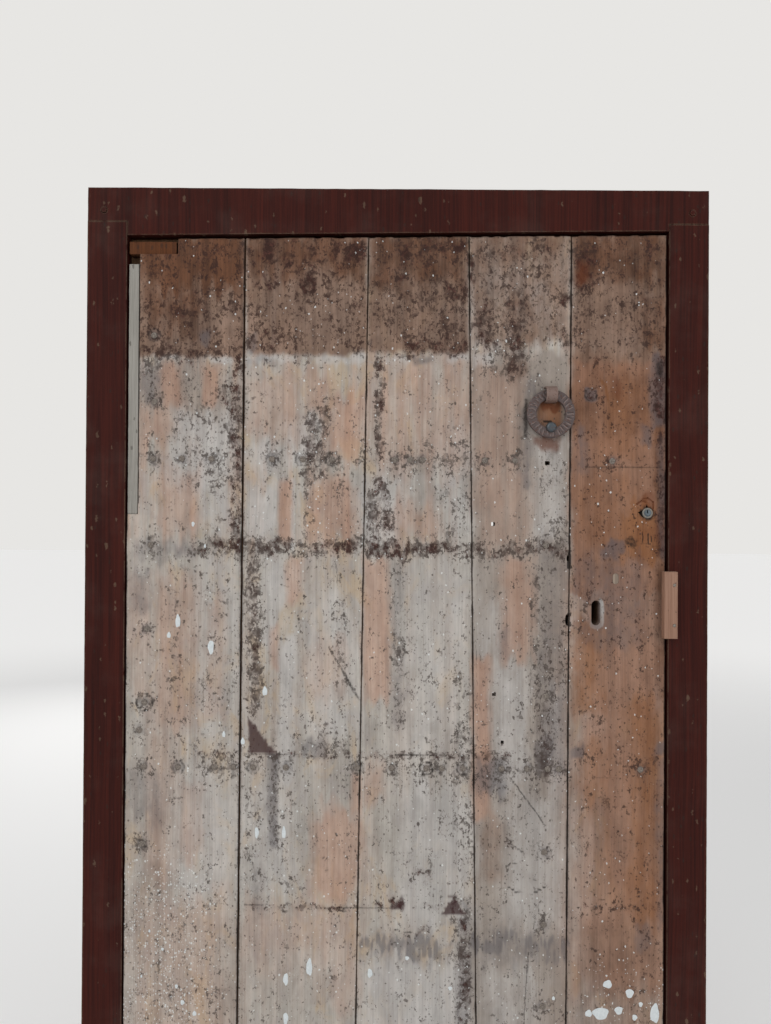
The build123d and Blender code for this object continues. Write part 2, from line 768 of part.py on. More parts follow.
with BuildPart() as guide_stud:
    rod([(stud_x, bolt_centre)], stud_radius, bolt_front - inner_gap, lock_back - sheet)
keep(guide_stud, "guide_stud")

with BuildPart() as key_post:
    rod([(key_x, key_height + key_slot_height / 5)], post_radius, plate_back + inner_gap,
        lock_back - sheet)
keep(key_post, "key_post")

with BuildPart() as bolt_spring:
    case_top = lock_centre + lock_height / 2 - sheet
    tail_top = bolt_centre + bolt_tail_height / 2 + slide_play
    spring_left = tail_left + spring_foot
    bend = spring_left + spring_foot_length
    rest = bend + spring_reach
    with BuildSketch(facing(bolt_back)):
        with BuildLine():
            Polyline((spring_left, case_top), (bend, case_top), (rest, tail_top + spring_thick),
                     (rest + spring_toe, tail_top + spring_thick), (rest + spring_toe, tail_top),
                     (rest - spring_thick, tail_top), (bend - spring_thick, case_top - spring_thick),
                     (spring_left, case_top - spring_thick), close=True)
        make_face()
    extrude(amount=bolt_thick)
keep(bolt_spring, "bolt_spring")

with BuildPart() as lock_screws:
    screws(lock_screw_places, plate_back)
keep(lock_screws, "lock_screws")

# Rim cylinder lock: cylinder through the door, cam and bolt in a case behind.
cylinder_front = board_front - cylinder_proud
cylinder_place = [(cylinder_x, cylinder_height)]

with BuildPart() as cylinder_body:
    rod(cylinder_place, cylinder_radius, cylinder_front, leaf_back)
    chamfer(cylinder_body.faces().sort_by(Axis.Y)[0].edges(), cylinder_chamfer)
    rod(cylinder_place, cylinder_plug_radius + turn_play, cylinder_front, leaf_back, mode=Mode.SUBTRACT)
keep(cylinder_body, "cylinder_body")

tail_seat = leaf_back - tail_in_plug
with BuildPart() as cylinder_plug:
    rod(cylinder_place, cylinder_plug_radius, cylinder_front + plug_recess, leaf_back - plug_end_gap)
    slab(cylinder_x - key_slot_half, cylinder_x + key_slot_half, cylinder_front,
         cylinder_front + key_slot_depth, cylinder_height - key_slot_below,
         cylinder_height + key_slot_reach, mode=Mode.SUBTRACT)
    slab(cylinder_x - tail_thick / 2 - turn_play, cylinder_x + tail_thick / 2 + turn_play,
         tail_seat, leaf_back, cylinder_height - tail_width / 2 - turn_play,
         cylinder_height + tail_width / 2 + turn_play, mode=Mode.SUBTRACT)
keep(cylinder_plug, "cylinder_plug")

with BuildPart() as tailpiece:
    slab(cylinder_x - tail_thick / 2, cylinder_x + tail_thick / 2, tail_seat, cam_back - tail_end_gap,
         cylinder_height - tail_width / 2, cylinder_height + tail_width / 2)
keep(tailpiece, "tailpiece")

with BuildPart() as latch_plate:
    slab(latch_left, stile_right, leaf_back, plate_back,
         cylinder_height - latch_height / 2 - latch_margin, cylinder_height + latch_height / 2 + latch_margin)
    rod(cylinder_place, cylinder_plug_radius, leaf_back, plate_back, mode=Mode.SUBTRACT)
    rod(latch_screw_places, screw_radius + fit_play, leaf_back, plate_back, mode=Mode.SUBTRACT)
keep(latch_plate, "latch_plate")

with BuildPart() as latch_case:
    slab(latch_left, stile_right, plate_back, latch_back, cylinder_height - latch_height / 2,
         cylinder_height + latch_height / 2)
    fillet(latch_case.faces().sort_by(Axis.Y)[-1].edges(), case_round)
    slab(latch_left + sheet, stile_right - sheet, plate_back, latch_back - sheet,
         cylinder_height - latch_height / 2 + sheet, cylinder_height + latch_height / 2 - sheet,
         mode=Mode.SUBTRACT)
    slab(stile_right - 2 * sheet, stile_right + over, rim_bolt_front - slide_play,
         rim_bolt_back + slide_play, rim_bolt_foot - slide_play,
         rim_bolt_foot + rim_bolt_height + slide_play, mode=Mode.SUBTRACT)
    rod(cylinder_place, spindle_radius + turn_play, latch_back - 2 * sheet, latch_back,
        mode=Mode.SUBTRACT)
keep(latch_case, "latch_case")

with BuildPart() as cam_hub:
    with BuildSketch(facing(cam_back)):
        with Locations((cylinder_x, cylinder_height)):
            Circle(cam_hub_radius)
        with Locations((cam_x, cam_z)):
            Circle(cam_pin_radius + cam_pin_wall)
        make_hull()
    extrude(amount=cam_back - cam_front)
    rod([(cam_x, cam_z)], cam_pin_radius, rim_bolt_front + cam_pin_gap, cam_front)
    rod(cylinder_place, spindle_radius, cam_back, latch_back + knob_bore_depth)
    slab(cylinder_x - tail_thick / 2 - turn_play, cylinder_x + tail_thick / 2 + turn_play,
         cam_front - over, cam_back - tail_end_gap + turn_play, cylinder_height - tail_width / 2 - turn_play,
         cylinder_height + tail_width / 2 + turn_play, mode=Mode.SUBTRACT)
keep(cam_hub, "cam_hub")

with BuildPart() as inside_knob:
    rod(cylinder_place, knob_neck_radius, latch_back + slide_play, latch_back + knob_neck_length)
    rod(cylinder_place, knob_radius, latch_back + knob_neck_length, latch_back + knob_length)
    fillet(inside_knob.faces().sort_by(Axis.Y)[-1].edges(), knob_round)
    rod(cylinder_place, spindle_radius + turn_play, latch_back,
        latch_back + knob_bore_depth + turn_play, mode=Mode.SUBTRACT)
keep(inside_knob, "inside_knob")

with BuildPart() as rim_bolt:
    slab(stile_right - rim_bolt_length, stile_right, rim_bolt_front, rim_bolt_back, rim_bolt_foot,
         rim_bolt_foot + rim_bolt_height)
    slab(cam_x - cam_pin_radius - cam_slack, cam_x + cam_pin_radius + cam_slack, rim_bolt_front,
         rim_bolt_back, rim_bolt_foot - over, cylinder_height + cam_radius + cam_pin_radius + cam_slack,
         mode=Mode.SUBTRACT)
keep(rim_bolt, "rim_bolt")

with BuildPart() as latch_screws:
    screws(latch_screw_places, plate_back)
keep(latch_screws, "latch_screws")

# Keepers on the back of the lock jamb, one pocket for each bolt.
keeper_left = rebate + keeper_set
keeper_screw_places = []
for name, middle, half, y0, y1, throw in (
    ("lock_keeper", bolt_centre, bolt_height / 2, bolt_front, bolt_back, bolt_throw),
    ("rim_keeper", rim_bolt_middle, rim_bolt_height / 2, rim_bolt_front, rim_bolt_back, rim_bolt_throw),
):
    keeper_right = keeper_left + throw + keeper_wall
    pocket = half + keeper_play
    reach = pocket + keeper_wall + keeper_ear / 2
    screw_x = rebate + keeper_set + (bolt_throw + keeper_wall) / 2
    keeper_screws_here = [(screw_x, middle - reach), (screw_x, middle + reach)]
    keeper_screw_places += keeper_screws_here
    with BuildPart() as keeper:
        slab(keeper_left, keeper_right, back, y1 + keeper_play + keeper_wall, middle - pocket - keeper_wall,
             middle + pocket + keeper_wall)
        slab(keeper_left - over, keeper_right - keeper_wall, y0 - keeper_play, y1 + keeper_play,
             middle - pocket, middle + pocket, mode=Mode.SUBTRACT)
        slab(keeper_left, keeper_left + bolt_throw + keeper_wall, back, back + keeper_plate,
             middle - pocket - keeper_wall - keeper_ear, middle + pocket + keeper_wall + keeper_ear)
        rod(keeper_screws_here, screw_radius + fit_play, back, back + keeper_plate, mode=Mode.SUBTRACT)
    keep(keeper, name)

with BuildPart() as keeper_screws:
    screws(keeper_screw_places, back + keeper_plate)
keep(keeper_screws, "keeper_screws")

print("frame", round(2 * outer, 1), "x", round(frame_top, 1), "leaf", round(leaf_width, 1), "x", leaf_height)
print("hinge axis", round(hinge_x, 2), round(hinge_y, 2), "strap heights", strap_heights)
print("ring axis", round(ring_x, 2), round(ring_y, 2), ring_axis_height, "clasp inner", round(clasp_inner, 2))
print("plug axis", round(cylinder_x, 2), cylinder_height, "rim bolt throw", round(rim_bolt_throw, 3))
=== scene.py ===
import bpy, bmesh, math, random
import numpy as np
from mathutils import Matrix, Vector


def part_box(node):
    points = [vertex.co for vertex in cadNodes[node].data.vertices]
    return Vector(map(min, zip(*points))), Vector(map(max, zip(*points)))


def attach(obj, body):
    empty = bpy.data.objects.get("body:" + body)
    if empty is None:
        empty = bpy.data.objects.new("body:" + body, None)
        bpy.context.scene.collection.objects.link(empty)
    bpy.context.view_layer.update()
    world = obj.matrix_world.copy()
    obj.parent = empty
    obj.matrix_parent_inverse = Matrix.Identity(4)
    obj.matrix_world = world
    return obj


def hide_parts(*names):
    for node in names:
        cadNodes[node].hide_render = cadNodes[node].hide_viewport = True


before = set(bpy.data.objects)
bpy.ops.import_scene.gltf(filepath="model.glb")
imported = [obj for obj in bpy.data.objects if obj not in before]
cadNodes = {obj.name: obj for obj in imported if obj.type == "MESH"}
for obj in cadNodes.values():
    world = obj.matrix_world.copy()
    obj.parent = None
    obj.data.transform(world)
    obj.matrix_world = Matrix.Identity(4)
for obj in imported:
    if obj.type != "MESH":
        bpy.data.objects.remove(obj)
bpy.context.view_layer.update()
dice = random.Random(11)
print("frame loaded,", len(cadNodes), "nodes")

# Marks on the leaf's face are placed in small squares, counted to the right and down.
squares = {"size": 0.00176, "middleX": -0.0197, "middleZ": 1.41, "middleU": 385.5, "middleV": 516.0, "tilt": 0.0059}
leafFace = -0.0345
weld = 0.00002


def toSquares(x, z):
    a = (x - squares["middleX"]) / squares["size"]
    b = (squares["middleZ"] - z) / squares["size"]
    return squares["middleU"] + a - squares["tilt"] * b, squares["middleV"] + b + squares["tilt"] * a


def fromSquares(u, v):
    a, b = u - squares["middleU"], v - squares["middleV"]
    x = squares["middleX"] + (a + squares["tilt"] * b) * squares["size"]
    return x, squares["middleZ"] - (b - squares["tilt"] * a) * squares["size"]


# Smooth random hills from 0 to 1, worked out for whole arrays at once.
hillCount = 256
hillTable = np.random.default_rng(5).random((hillCount, hillCount))


def hillAt(iu, iv):
    return hillTable[iu % hillCount, iv % hillCount]


def hills(u, v, seed=0):
    u, v = u + seed * 17.31, v + seed * 9.77
    iu, iv = np.floor(u).astype(int), np.floor(v).astype(int)
    fu, fv = u - iu, v - iv
    fu, fv = fu * fu * (3 - 2 * fu), fv * fv * (3 - 2 * fv)
    near = hillAt(iu, iv) * (1 - fu) + hillAt(iu + 1, iv) * fu
    return near * (1 - fv) + (hillAt(iu, iv + 1) * (1 - fu) + hillAt(iu + 1, iv + 1) * fu) * fv


def ramp(t):
    t = np.clip(t, 0, 1)
    return t * t * (3 - 2 * t)


# Mesh helpers.
def copyNode(name):
    bm = bmesh.new()
    bm.from_mesh(cadNodes[name].data)
    bmesh.ops.remove_doubles(bm, verts=bm.verts, dist=weld)
    return bm


def softenEdges(bm, width, segments=2, sharp=0.6):
    edges = [e for e in bm.edges if len(e.link_faces) == 2 and e.calc_face_angle(0) > sharp]
    bmesh.ops.bevel(bm, geom=edges, offset=width, offset_type="OFFSET", segments=segments, profile=0.5,
                    affect="EDGES", clamp_overlap=True, material=-1)


def cut(bm, faces, at, axis):
    # one flat cut through these faces, with their edges and corners
    geom = faces + list({e for f in faces for e in f.edges}) + list({v for f in faces for v in f.verts})
    result = bmesh.ops.bisect_plane(bm, geom=geom, dist=1e-7, plane_co=axis * at, plane_no=axis)
    return [g for g in result["geom"] if isinstance(g, bmesh.types.BMFace)]


def cutAlong(bm, side, step):
    # even cuts across one axis, each one only through what is still beyond the last
    faces = list(bm.faces)
    values = [v.co[side] for f in faces for v in f.verts]
    low, high = min(values), max(values)
    axis = Vector([float(side == n) for n in range(3)])
    at = low + step
    while at < high - step * 0.3:
        faces = [f for f in cut(bm, list(set(faces)), at, axis) if f.calc_center_median()[side] > at]
        at += step


def netFace(bm, y, columns, rows):
    # a fine net on the flat face at depth y: upright cuts first, old diagonals out, then level cuts from the foot
    def onFace(f):
        return f.normal.y < -0.9 and all(abs(v.co.y - y) < weld for v in f.verts)

    bm.normal_update()
    faces = [f for f in bm.faces if onFace(f)]
    for at in columns:
        cut(bm, faces, at, Vector((1, 0, 0)))
        faces = [f for f in bm.faces if onFace(f)]
    chosen = set(faces)
    slanting = {e for f in faces for e in f.edges
                if abs(e.verts[0].co.x - e.verts[1].co.x) > 1e-6 and len(e.link_faces) == 2
                and all(g in chosen for g in e.link_faces)}
    bmesh.ops.dissolve_edges(bm, edges=list(slanting), use_verts=True)
    bm.normal_update()
    faces = [f for f in bm.faces if onFace(f)]
    for at in rows:
        faces = [f for f in cut(bm, faces, at, Vector((0, 0, 1))) if f.calc_center_median().z > at]


def valuesOnPoints(mesh, name, values):
    mesh.attributes.new(name, "FLOAT", "POINT").data.foreach_set("value", np.asarray(values, dtype=np.float32))


def addToScene(name, data):
    made = bpy.data.objects.new(name, data)
    bpy.context.scene.collection.objects.link(made)
    return made


def rideAs(piece, body, material, replaced):
    piece.data.materials.append(materials[material])
    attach(piece, body)
    if replaced:
        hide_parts(*replaced)


def finishPiece(bm, name, body, material, replaced=(), smooth=0.6):
    mesh = bpy.data.meshes.new(name)
    bm.normal_update()
    bm.to_mesh(mesh)
    bm.free()
    piece = addToScene(name, mesh)
    mesh.shade_smooth()
    mesh.set_sharp_from_angle(angle=smooth)
    rideAs(piece, body, material, replaced)
    return piece


# Node helpers.
def hexColour(code):
    parts = [int(code[i:i + 2], 16) / 255 for i in (0, 2, 4)]
    return tuple(c / 12.92 if c <= 0.04045 else ((c + 0.055) / 1.055) ** 2.4 for c in parts) + (1.0,)


def place(tree, kind, **values):
    node = tree.nodes.new(kind)
    for key, value in values.items():
        setattr(node, key, value)
    return node


def feed(tree, socket, value):
    if isinstance(value, bpy.types.NodeSocket):
        tree.links.new(value, socket)
    else:
        socket.default_value = value


def maths(tree, operation, a, b=0.0, c=0.0, clamp=False):
    node = place(tree, "ShaderNodeMath", operation=operation, use_clamp=clamp)
    for socket, value in zip(node.inputs, (a, b, c)):
        feed(tree, socket, value)
    return node.outputs[0]


def times(tree, a, b):
    return maths(tree, "MULTIPLY", a, b)


def timesPlus(tree, a, b, c):
    return maths(tree, "MULTIPLY_ADD", a, b, c)


def mixColour(tree, factor, a, b):
    node = place(tree, "ShaderNodeMix", data_type="RGBA", blend_type="MIX")
    feed(tree, node.inputs[0], factor)
    feed(tree, node.inputs[6], a)
    feed(tree, node.inputs[7], b)
    return node.outputs[2]


def spread(tree, value, low, high, toLow=0.0, toHigh=1.0):
    node = place(tree, "ShaderNodeMapRange", interpolation_type="SMOOTHSTEP", clamp=True)
    for index, v in enumerate((value, low, high, toLow, toHigh)):
        feed(tree, node.inputs[index], v)
    return node.outputs[0]


def combined(tree, x, y, z):
    node = place(tree, "ShaderNodeCombineXYZ")
    for socket, value in zip(node.inputs, (x, y, z)):
        feed(tree, socket, value)
    return node.outputs[0]


def vectorMaths(tree, operation, *values):
    node = place(tree, "ShaderNodeVectorMath", operation=operation)
    for socket, value in zip(node.inputs, values):
        feed(tree, socket, value)
    return node


def scaled(tree, vector, x, y, z):
    return vectorMaths(tree, "MULTIPLY", vector, (x, y, z)).outputs[0]


def stretched(tree, vector, size, along):
    return vectorMaths(tree, "MULTIPLY", vector, combined(tree, size, size, times(tree, size, along))).outputs[0]


def noiseOf(tree, vector, scale, detail=3.0, rough=0.55, distort=0.0):
    node = place(tree, "ShaderNodeTexNoise")
    feed(tree, node.inputs["Vector"], vector)
    feed(tree, node.inputs["Scale"], scale)
    node.inputs["Detail"].default_value = detail
    node.inputs["Roughness"].default_value = rough
    node.inputs["Distortion"].default_value = distort
    return node.outputs["Fac"]


def maskOf(tree, name):
    return place(tree, "ShaderNodeAttribute", attribute_name=name).outputs["Fac"]


def newGroup(name, inputs, outputs):
    # a group with a Vector and number inputs, and its outputs; what comes back are its tree and its sockets
    tree = bpy.data.node_groups.new(name, "ShaderNodeTree")
    tree.interface.new_socket(name="Vector", in_out="INPUT", socket_type="NodeSocketVector")
    for label, value in inputs.items():
        tree.interface.new_socket(name=label, in_out="INPUT", socket_type="NodeSocketFloat").default_value = value
    for label in outputs:
        tree.interface.new_socket(name=label, in_out="OUTPUT", socket_type="NodeSocketFloat")
    return tree, tree.nodes.new("NodeGroupInput").outputs, tree.nodes.new("NodeGroupOutput").inputs


def useGroup(tree, group, **values):
    node = place(tree, "ShaderNodeGroup")
    node.node_tree = group
    for key, value in values.items():
        feed(tree, node.inputs[key], value)
    return node


# Grain: fine streaks and broad bands that run up the timber.
grain, inside, outside = newGroup("grain", {"Across": 420.0, "Wander": 0.012}, ["Fine", "Broad"])
sway = noiseOf(grain, scaled(grain, inside["Vector"], 3.0, 3.0, 1.6), 1.0, 2.0)
apart = place(grain, "ShaderNodeSeparateXYZ")
feed(grain, apart.inputs[0], inside["Vector"])
swayed = maths(grain, "ADD", apart.outputs[0], times(grain, maths(grain, "SUBTRACT", sway, 0.5), inside["Wander"]))
for label, across, along, detail in (("Fine", 1.0, 0.016, 4.0), ("Broad", 0.2, 0.008, 3.0)):
    width = times(grain, inside["Across"], across)
    streaks = combined(grain, times(grain, swayed, width), times(grain, apart.outputs[1], width),
                       times(grain, apart.outputs[2], times(grain, inside["Across"], along)))
    feed(grain, outside[label], noiseOf(grain, streaks, 1.0, detail, 0.6))

# Specks: scattered ragged spots, more of them where Amount is high.
specks, inside, outside = newGroup("specks", {"Amount": 0.3, "Size": 180.0, "Tall": 0.8}, ["Mask"])
ragged = place(specks, "ShaderNodeTexNoise")
feed(specks, ragged.inputs["Vector"], inside["Vector"])
feed(specks, ragged.inputs["Scale"], times(specks, inside["Size"], 2.3))
ragged.inputs["Detail"].default_value = 3.0
shift = maths(specks, "DIVIDE", 0.75, inside["Size"])
shifts = combined(specks, shift, shift, shift)
shoved = vectorMaths(specks, "MULTIPLY_ADD", ragged.outputs["Color"], shifts, inside["Vector"])
cells = place(specks, "ShaderNodeTexVoronoi", feature="F1")
feed(specks, cells.inputs["Vector"], stretched(specks, shoved.outputs[0], inside["Size"], inside["Tall"]))
cells.inputs["Scale"].default_value = 1.0
tones = place(specks, "ShaderNodeSeparateColor")
feed(specks, tones.inputs[0], cells.outputs["Color"])
present = maths(specks, "LESS_THAN", tones.outputs[0], inside["Amount"])
reach = timesPlus(specks, tones.outputs[1], 0.33, 0.14)
beyond, within = maths(specks, "ADD", reach, 0.07), maths(specks, "SUBTRACT", reach, 0.07)
spot = spread(specks, cells.outputs["Distance"], beyond, within)
feed(specks, outside["Mask"], times(specks, spot, present))

# Torn patch: turns a soft mask into a worn patch with a broken border.
torn, inside, outside = newGroup(
    "tornPatch", {"Field": 0.5, "Size": 120.0, "Along": 0.35, "Bite": 0.9, "Edge": 0.12}, ["Mask"])
coarse = noiseOf(torn, stretched(torn, inside["Vector"], inside["Size"], inside["Along"]), 1.0, 6.0, 0.72)
bite = times(torn, maths(torn, "SUBTRACT", coarse, 0.5), inside["Bite"])
held = spread(torn, inside["Field"], 0.0, 0.12)
edgeLow, edgeHigh = maths(torn, "SUBTRACT", 0.5, inside["Edge"]), maths(torn, "ADD", 0.5, inside["Edge"])
ragged = spread(torn, maths(torn, "ADD", inside["Field"], bite), edgeLow, edgeHigh)
feed(torn, outside["Mask"], times(torn, ragged, held))

# Mottle: ragged dark flecks that crowd together where Amount is high.
mottle, inside, outside = newGroup("mottle", {"Amount": 0.3, "Size": 150.0, "Tall": 0.7}, ["Mask"])
shaped = stretched(mottle, inside["Vector"], inside["Size"], inside["Tall"])
crowd = noiseOf(mottle, shaped, 0.22, 3.0, 0.6)
spots = noiseOf(mottle, shaped, 1.0, 4.0, 0.62)
level = timesPlus(mottle, inside["Amount"], 0.2, timesPlus(mottle, crowd, 0.5, spots))
present = spread(mottle, inside["Amount"], 0.0, 0.1)
feed(mottle, outside["Mask"], times(mottle, spread(mottle, level, 0.895, 0.955), present))

# Edge wear: where a rounded normal leaves the real one, broken up by noise.
wear, inside, outside = newGroup("edgeWear", {"Reach": 0.002, "Size": 60.0, "Amount": 0.5}, ["Mask"])
rounded = place(wear, "ShaderNodeBevel", samples=4)
feed(wear, rounded.inputs["Radius"], inside["Reach"])
flat = place(wear, "ShaderNodeNewGeometry")
facing = vectorMaths(wear, "DOT_PRODUCT", rounded.outputs[0], flat.outputs["Normal"])
edge = spread(wear, facing.outputs["Value"], 0.995, 0.8)
rough = noiseOf(wear, inside["Vector"], inside["Size"], 5.0, 0.6)
low, high = (maths(wear, "SUBTRACT", limit, inside["Amount"]) for limit in (1.1, 1.25))
feed(wear, outside["Mask"], spread(wear, timesPlus(wear, edge, 0.5, rough), low, high))

# Dust: pale grey on faces that look up, in soft drifts.
dust, inside, outside = newGroup("dust", {"Amount": 0.5}, ["Mask"])
flat = place(dust, "ShaderNodeNewGeometry")
apart = place(dust, "ShaderNodeSeparateXYZ")
feed(dust, apart.inputs[0], flat.outputs["Normal"])
drift = noiseOf(dust, inside["Vector"], 14.0, 4.0)
allOver = times(dust, spread(dust, drift, 0.45, 0.75), 0.25)
settled = maths(dust, "MAXIMUM", spread(dust, apart.outputs[2], 0.1, 0.9), allOver)
feed(dust, outside["Mask"], maths(dust, "MULTIPLY", settled, inside["Amount"], clamp=True))

# Rust: blotches in two sizes.
rust, inside, outside = newGroup("rust", {"Size": 90.0, "Amount": 0.5}, ["Mask", "Depth"])
blotch = noiseOf(rust, inside["Vector"], inside["Size"], 6.0, 0.68, 0.4)
limit = maths(rust, "SUBTRACT", 0.95, times(rust, inside["Amount"], 0.75))
feed(rust, outside["Mask"], spread(rust, blotch, maths(rust, "SUBTRACT", limit, 0.12), limit))
pits = noiseOf(rust, inside["Vector"], times(rust, inside["Size"], 5.0), 3.0)
feed(rust, outside["Depth"], times(rust, pits, blotch))

materials, slots = {}, {}


def newMaterial(name, slotName, colour, roughness, metallic=0.0, bumpHeight=None, strength=0.4, distance=0.001,
                specular=0.5):
    # colour, roughness and bumpHeight are functions of the tree and the object's own coordinates, or plain values
    material = bpy.data.materials.new(name)
    material.use_nodes = True
    tree = material.node_tree
    shader = tree.nodes["Principled BSDF"]
    shader.inputs["Specular IOR Level"].default_value = specular
    coords = place(tree, "ShaderNodeTexCoord").outputs["Object"]
    for socket, value in (("Base Color", colour), ("Roughness", roughness), ("Metallic", metallic)):
        feed(tree, shader.inputs[socket], value(tree, coords) if callable(value) else value)
    if bumpHeight:
        bump = place(tree, "ShaderNodeBump")
        bump.inputs["Strength"].default_value = strength
        bump.inputs["Distance"].default_value = distance
        feed(tree, bump.inputs["Height"], bumpHeight(tree, coords))
        feed(tree, shader.inputs["Normal"], bump.outputs[0])
    materials[name], slots[name] = material, slotName


boardColours = {
    "dark": "867f77", "light": "c7c0b7", "paleDark": "999592", "paleLight": "d1cdc9", "dullDark": "7d7269",
    "dullLight": "aa9f95", "bareDark": "8f6a57", "bareLight": "c59f88", "ochre": "bda27f", "rose": "a19894",
    "warmDark": "664533", "warmLight": "a3765c", "amberDark": "6e4327", "amberLight": "95643f",
    # toneDark to umberLight darken the top of the boards: partly the real darker wood there, partly painted shade
    # from above
    "toneDark": "463126", "toneLight": "9c7e6b", "umberDark": "2e1a0f", "umberLight": "75492e",
    "smudge": "59565a", "residue": "2e1a16", "residueWarm": "54312a", "fleck": "463d38", "fleckWarm": "321d17",
    # the near-black first colour below serves real dirt and stains, and painted shade inside the seam notches
    "grimeAndShade": "1c1614", "solid": "3a1d1f", "white": "dadcda", "rust": "613016", "backDark": "5b4230",
    "backLight": "806049", "line": "6a5a50",
}
# the tone and umber patches are partly real darker wood and partly painted shade from above along the top of the
# boards
boardPatches = {  # mask: size, bite, edge, along and share of each tint of bare, pale or warm wood
    "dull": (20.0, 0.6, 0.5, 0.3, 1.0), "pale": (46.0, 1.1, 0.6, 0.35, 0.75), "bare": (55.0, 1.1, 0.75, 0.16, 0.8),
    "warm": (26.0, 0.5, 0.5, 0.25, 0.92), "amber": (40.0, 1.0, 0.5, 0.3, 0.85), "tone": (24.0, 0.8, 0.4, 0.6, 0.92),
    "umber": (30.0, 1.1, 0.5, 0.7, 0.9),
}


def patchOf(tree, coords, field, size, bite, edge, along):
    return useGroup(tree, torn, Field=field, Vector=coords, Size=size, Bite=bite, Edge=edge, Along=along).outputs[0]


def boardColour(tree, coords):
    c = {name: hexColour(code) for name, code in boardColours.items()}
    lines = useGroup(tree, grain, Vector=coords, Across=330.0, Wander=0.03)
    fine = spread(tree, lines.outputs["Fine"], 0.33, 0.67)
    broad = spread(tree, lines.outputs["Broad"], 0.3, 0.7)
    cloud = noiseOf(tree, scaled(tree, coords, 14.0, 14.0, 5.0), 1.0, 4.0, 0.6)
    blotch = noiseOf(tree, scaled(tree, coords, 38.0, 38.0, 22.0), 1.0, 5.0, 0.65, 0.6)
    streak = timesPlus(tree, fine, 0.2, times(tree, broad, 0.26))
    for field in (cloud, blotch):
        streak = timesPlus(tree, spread(tree, field, 0.3, 0.7), 0.27, streak)

    def wood(name):
        return mixColour(tree, streak, c[name + "Dark"], c[name + "Light"])

    def over(colour, mask, tone, share=1.0):
        # another tone laid over the colour where the mask is
        return mixColour(tree, times(tree, mask, share) if share != 1.0 else mask, colour, tone)

    def patch(name, size, bite=0.5, edge=0.22, along=0.3, share=1.0):
        field = maskOf(tree, name)
        return patchOf(tree, coords, times(tree, field, share) if share != 1.0 else field, size, bite, edge, along)

    def flecks(group, amount, size, tall, vector=coords):
        return useGroup(tree, group, Vector=vector, Amount=amount, Size=size, Tall=tall).outputs[0]

    colour = mixColour(tree, streak, c["dark"], c["light"])
    wash = noiseOf(tree, scaled(tree, coords, 34.0, 34.0, 3.2), 1.0, 4.0, 0.62, 0.3)
    colour = over(colour, times(tree, spread(tree, wash, 0.42, 0.66), maskOf(tree, "wash")), wood("bare"))
    for name, size, heightSize, share in (("ochre", 19.0, 9.0, 0.5), ("rose", 27.0, -14.0, 0.45)):
        drift = noiseOf(tree, scaled(tree, coords, size, size, heightSize), 1.0, 5.0, 0.65, 0.8)
        colour = over(colour, spread(tree, drift, 0.5, 0.68, 0.0, share), c[name])
    # tints of wood laid over; tone and umber bring painted shade from above onto the top of the boards, besides real
    # darker wood
    for name, (size, bite, edge, along, share) in boardPatches.items():
        colour = over(colour, patch(name, size, bite, edge, along), wood(name), share)
    thin = spread(tree, noiseOf(tree, scaled(tree, coords, 620.0, 620.0, 7.0), 1.0, 3.0, 0.6), 0.6, 0.72)
    colour = over(colour, thin, c["line"], 0.35)
    colour = over(colour, patch("smudge", 70.0, 1.0, 0.45, 0.6), c["smudge"], 0.6)

    fleck, residue = maskOf(tree, "fleck"), maskOf(tree, "residue")
    both = timesPlus(tree, residue, 0.6, fleck)
    paintMix = spread(tree, noiseOf(tree, coords, 170.0, 4.0), 0.35, 0.68)
    paintTone = mixColour(tree, paintMix, c["residue"], c["residueWarm"])
    colour = over(colour, patch("residue", 60.0, 1.2, 0.45, 0.6, 0.62), paintTone, 0.5)
    colour = over(colour, patch("residue", 190.0, 2.3, 0.1, 0.7, 0.5), paintTone, 0.85)
    large = flecks(mottle, both, 120.0, 0.8)
    small = flecks(mottle, both, 250.0, 0.7, scaled(tree, coords, 1.0, 1.0, -1.0))
    dotted = flecks(specks, times(tree, fleck, 0.55), 230.0, 0.75)
    spots = maths(tree, "MAXIMUM", large, maths(tree, "MAXIMUM", small, times(tree, dotted, 0.85)))
    warmer = maths(tree, "MAXIMUM", maskOf(tree, "tone"), maths(tree, "MAXIMUM", residue, maskOf(tree, "warm")))
    strength = spread(tree, noiseOf(tree, coords, 90.0, 2.0), 0.35, 0.6, 0.35, 0.85)
    colour = over(colour, times(tree, spots, strength), mixColour(tree, warmer, c["fleck"], c["fleckWarm"]))

    colour = over(colour, patch("rust", 120.0, 0.6, 0.4), c["rust"], 0.75)
    # near black over real dirt and stains, and painted shade on the walls inside the seam notches
    colour = over(colour, patch("grimeAndShade", 260.0, 0.8, 0.3, 0.7), c["grimeAndShade"], 0.88)
    colour = over(colour, maskOf(tree, "solid"), c["solid"], 0.88)
    colour = over(colour, flecks(specks, times(tree, maskOf(tree, "white"), 0.6), 270.0, 0.8), c["white"], 0.8)
    return mixColour(tree, maskOf(tree, "front"), wood("back"), colour)


def boardRelief(tree, coords):
    lines = useGroup(tree, grain, Vector=coords, Across=430.0, Wander=0.02)
    paint = patchOf(tree, coords, times(tree, maskOf(tree, "residue"), 0.5), 190.0, 2.3, 0.1, 0.7)
    small = useGroup(tree, mottle, Vector=coords, Amount=maskOf(tree, "fleck"), Size=120.0, Tall=0.8).outputs[0]
    return timesPlus(tree, small, 0.25, timesPlus(tree, paint, 0.3, lines.outputs["Fine"]))


newMaterial("oldBoards", "old_boards", boardColour, 0.82, 0.0, boardRelief, 0.36, 0.0008, 0.25)

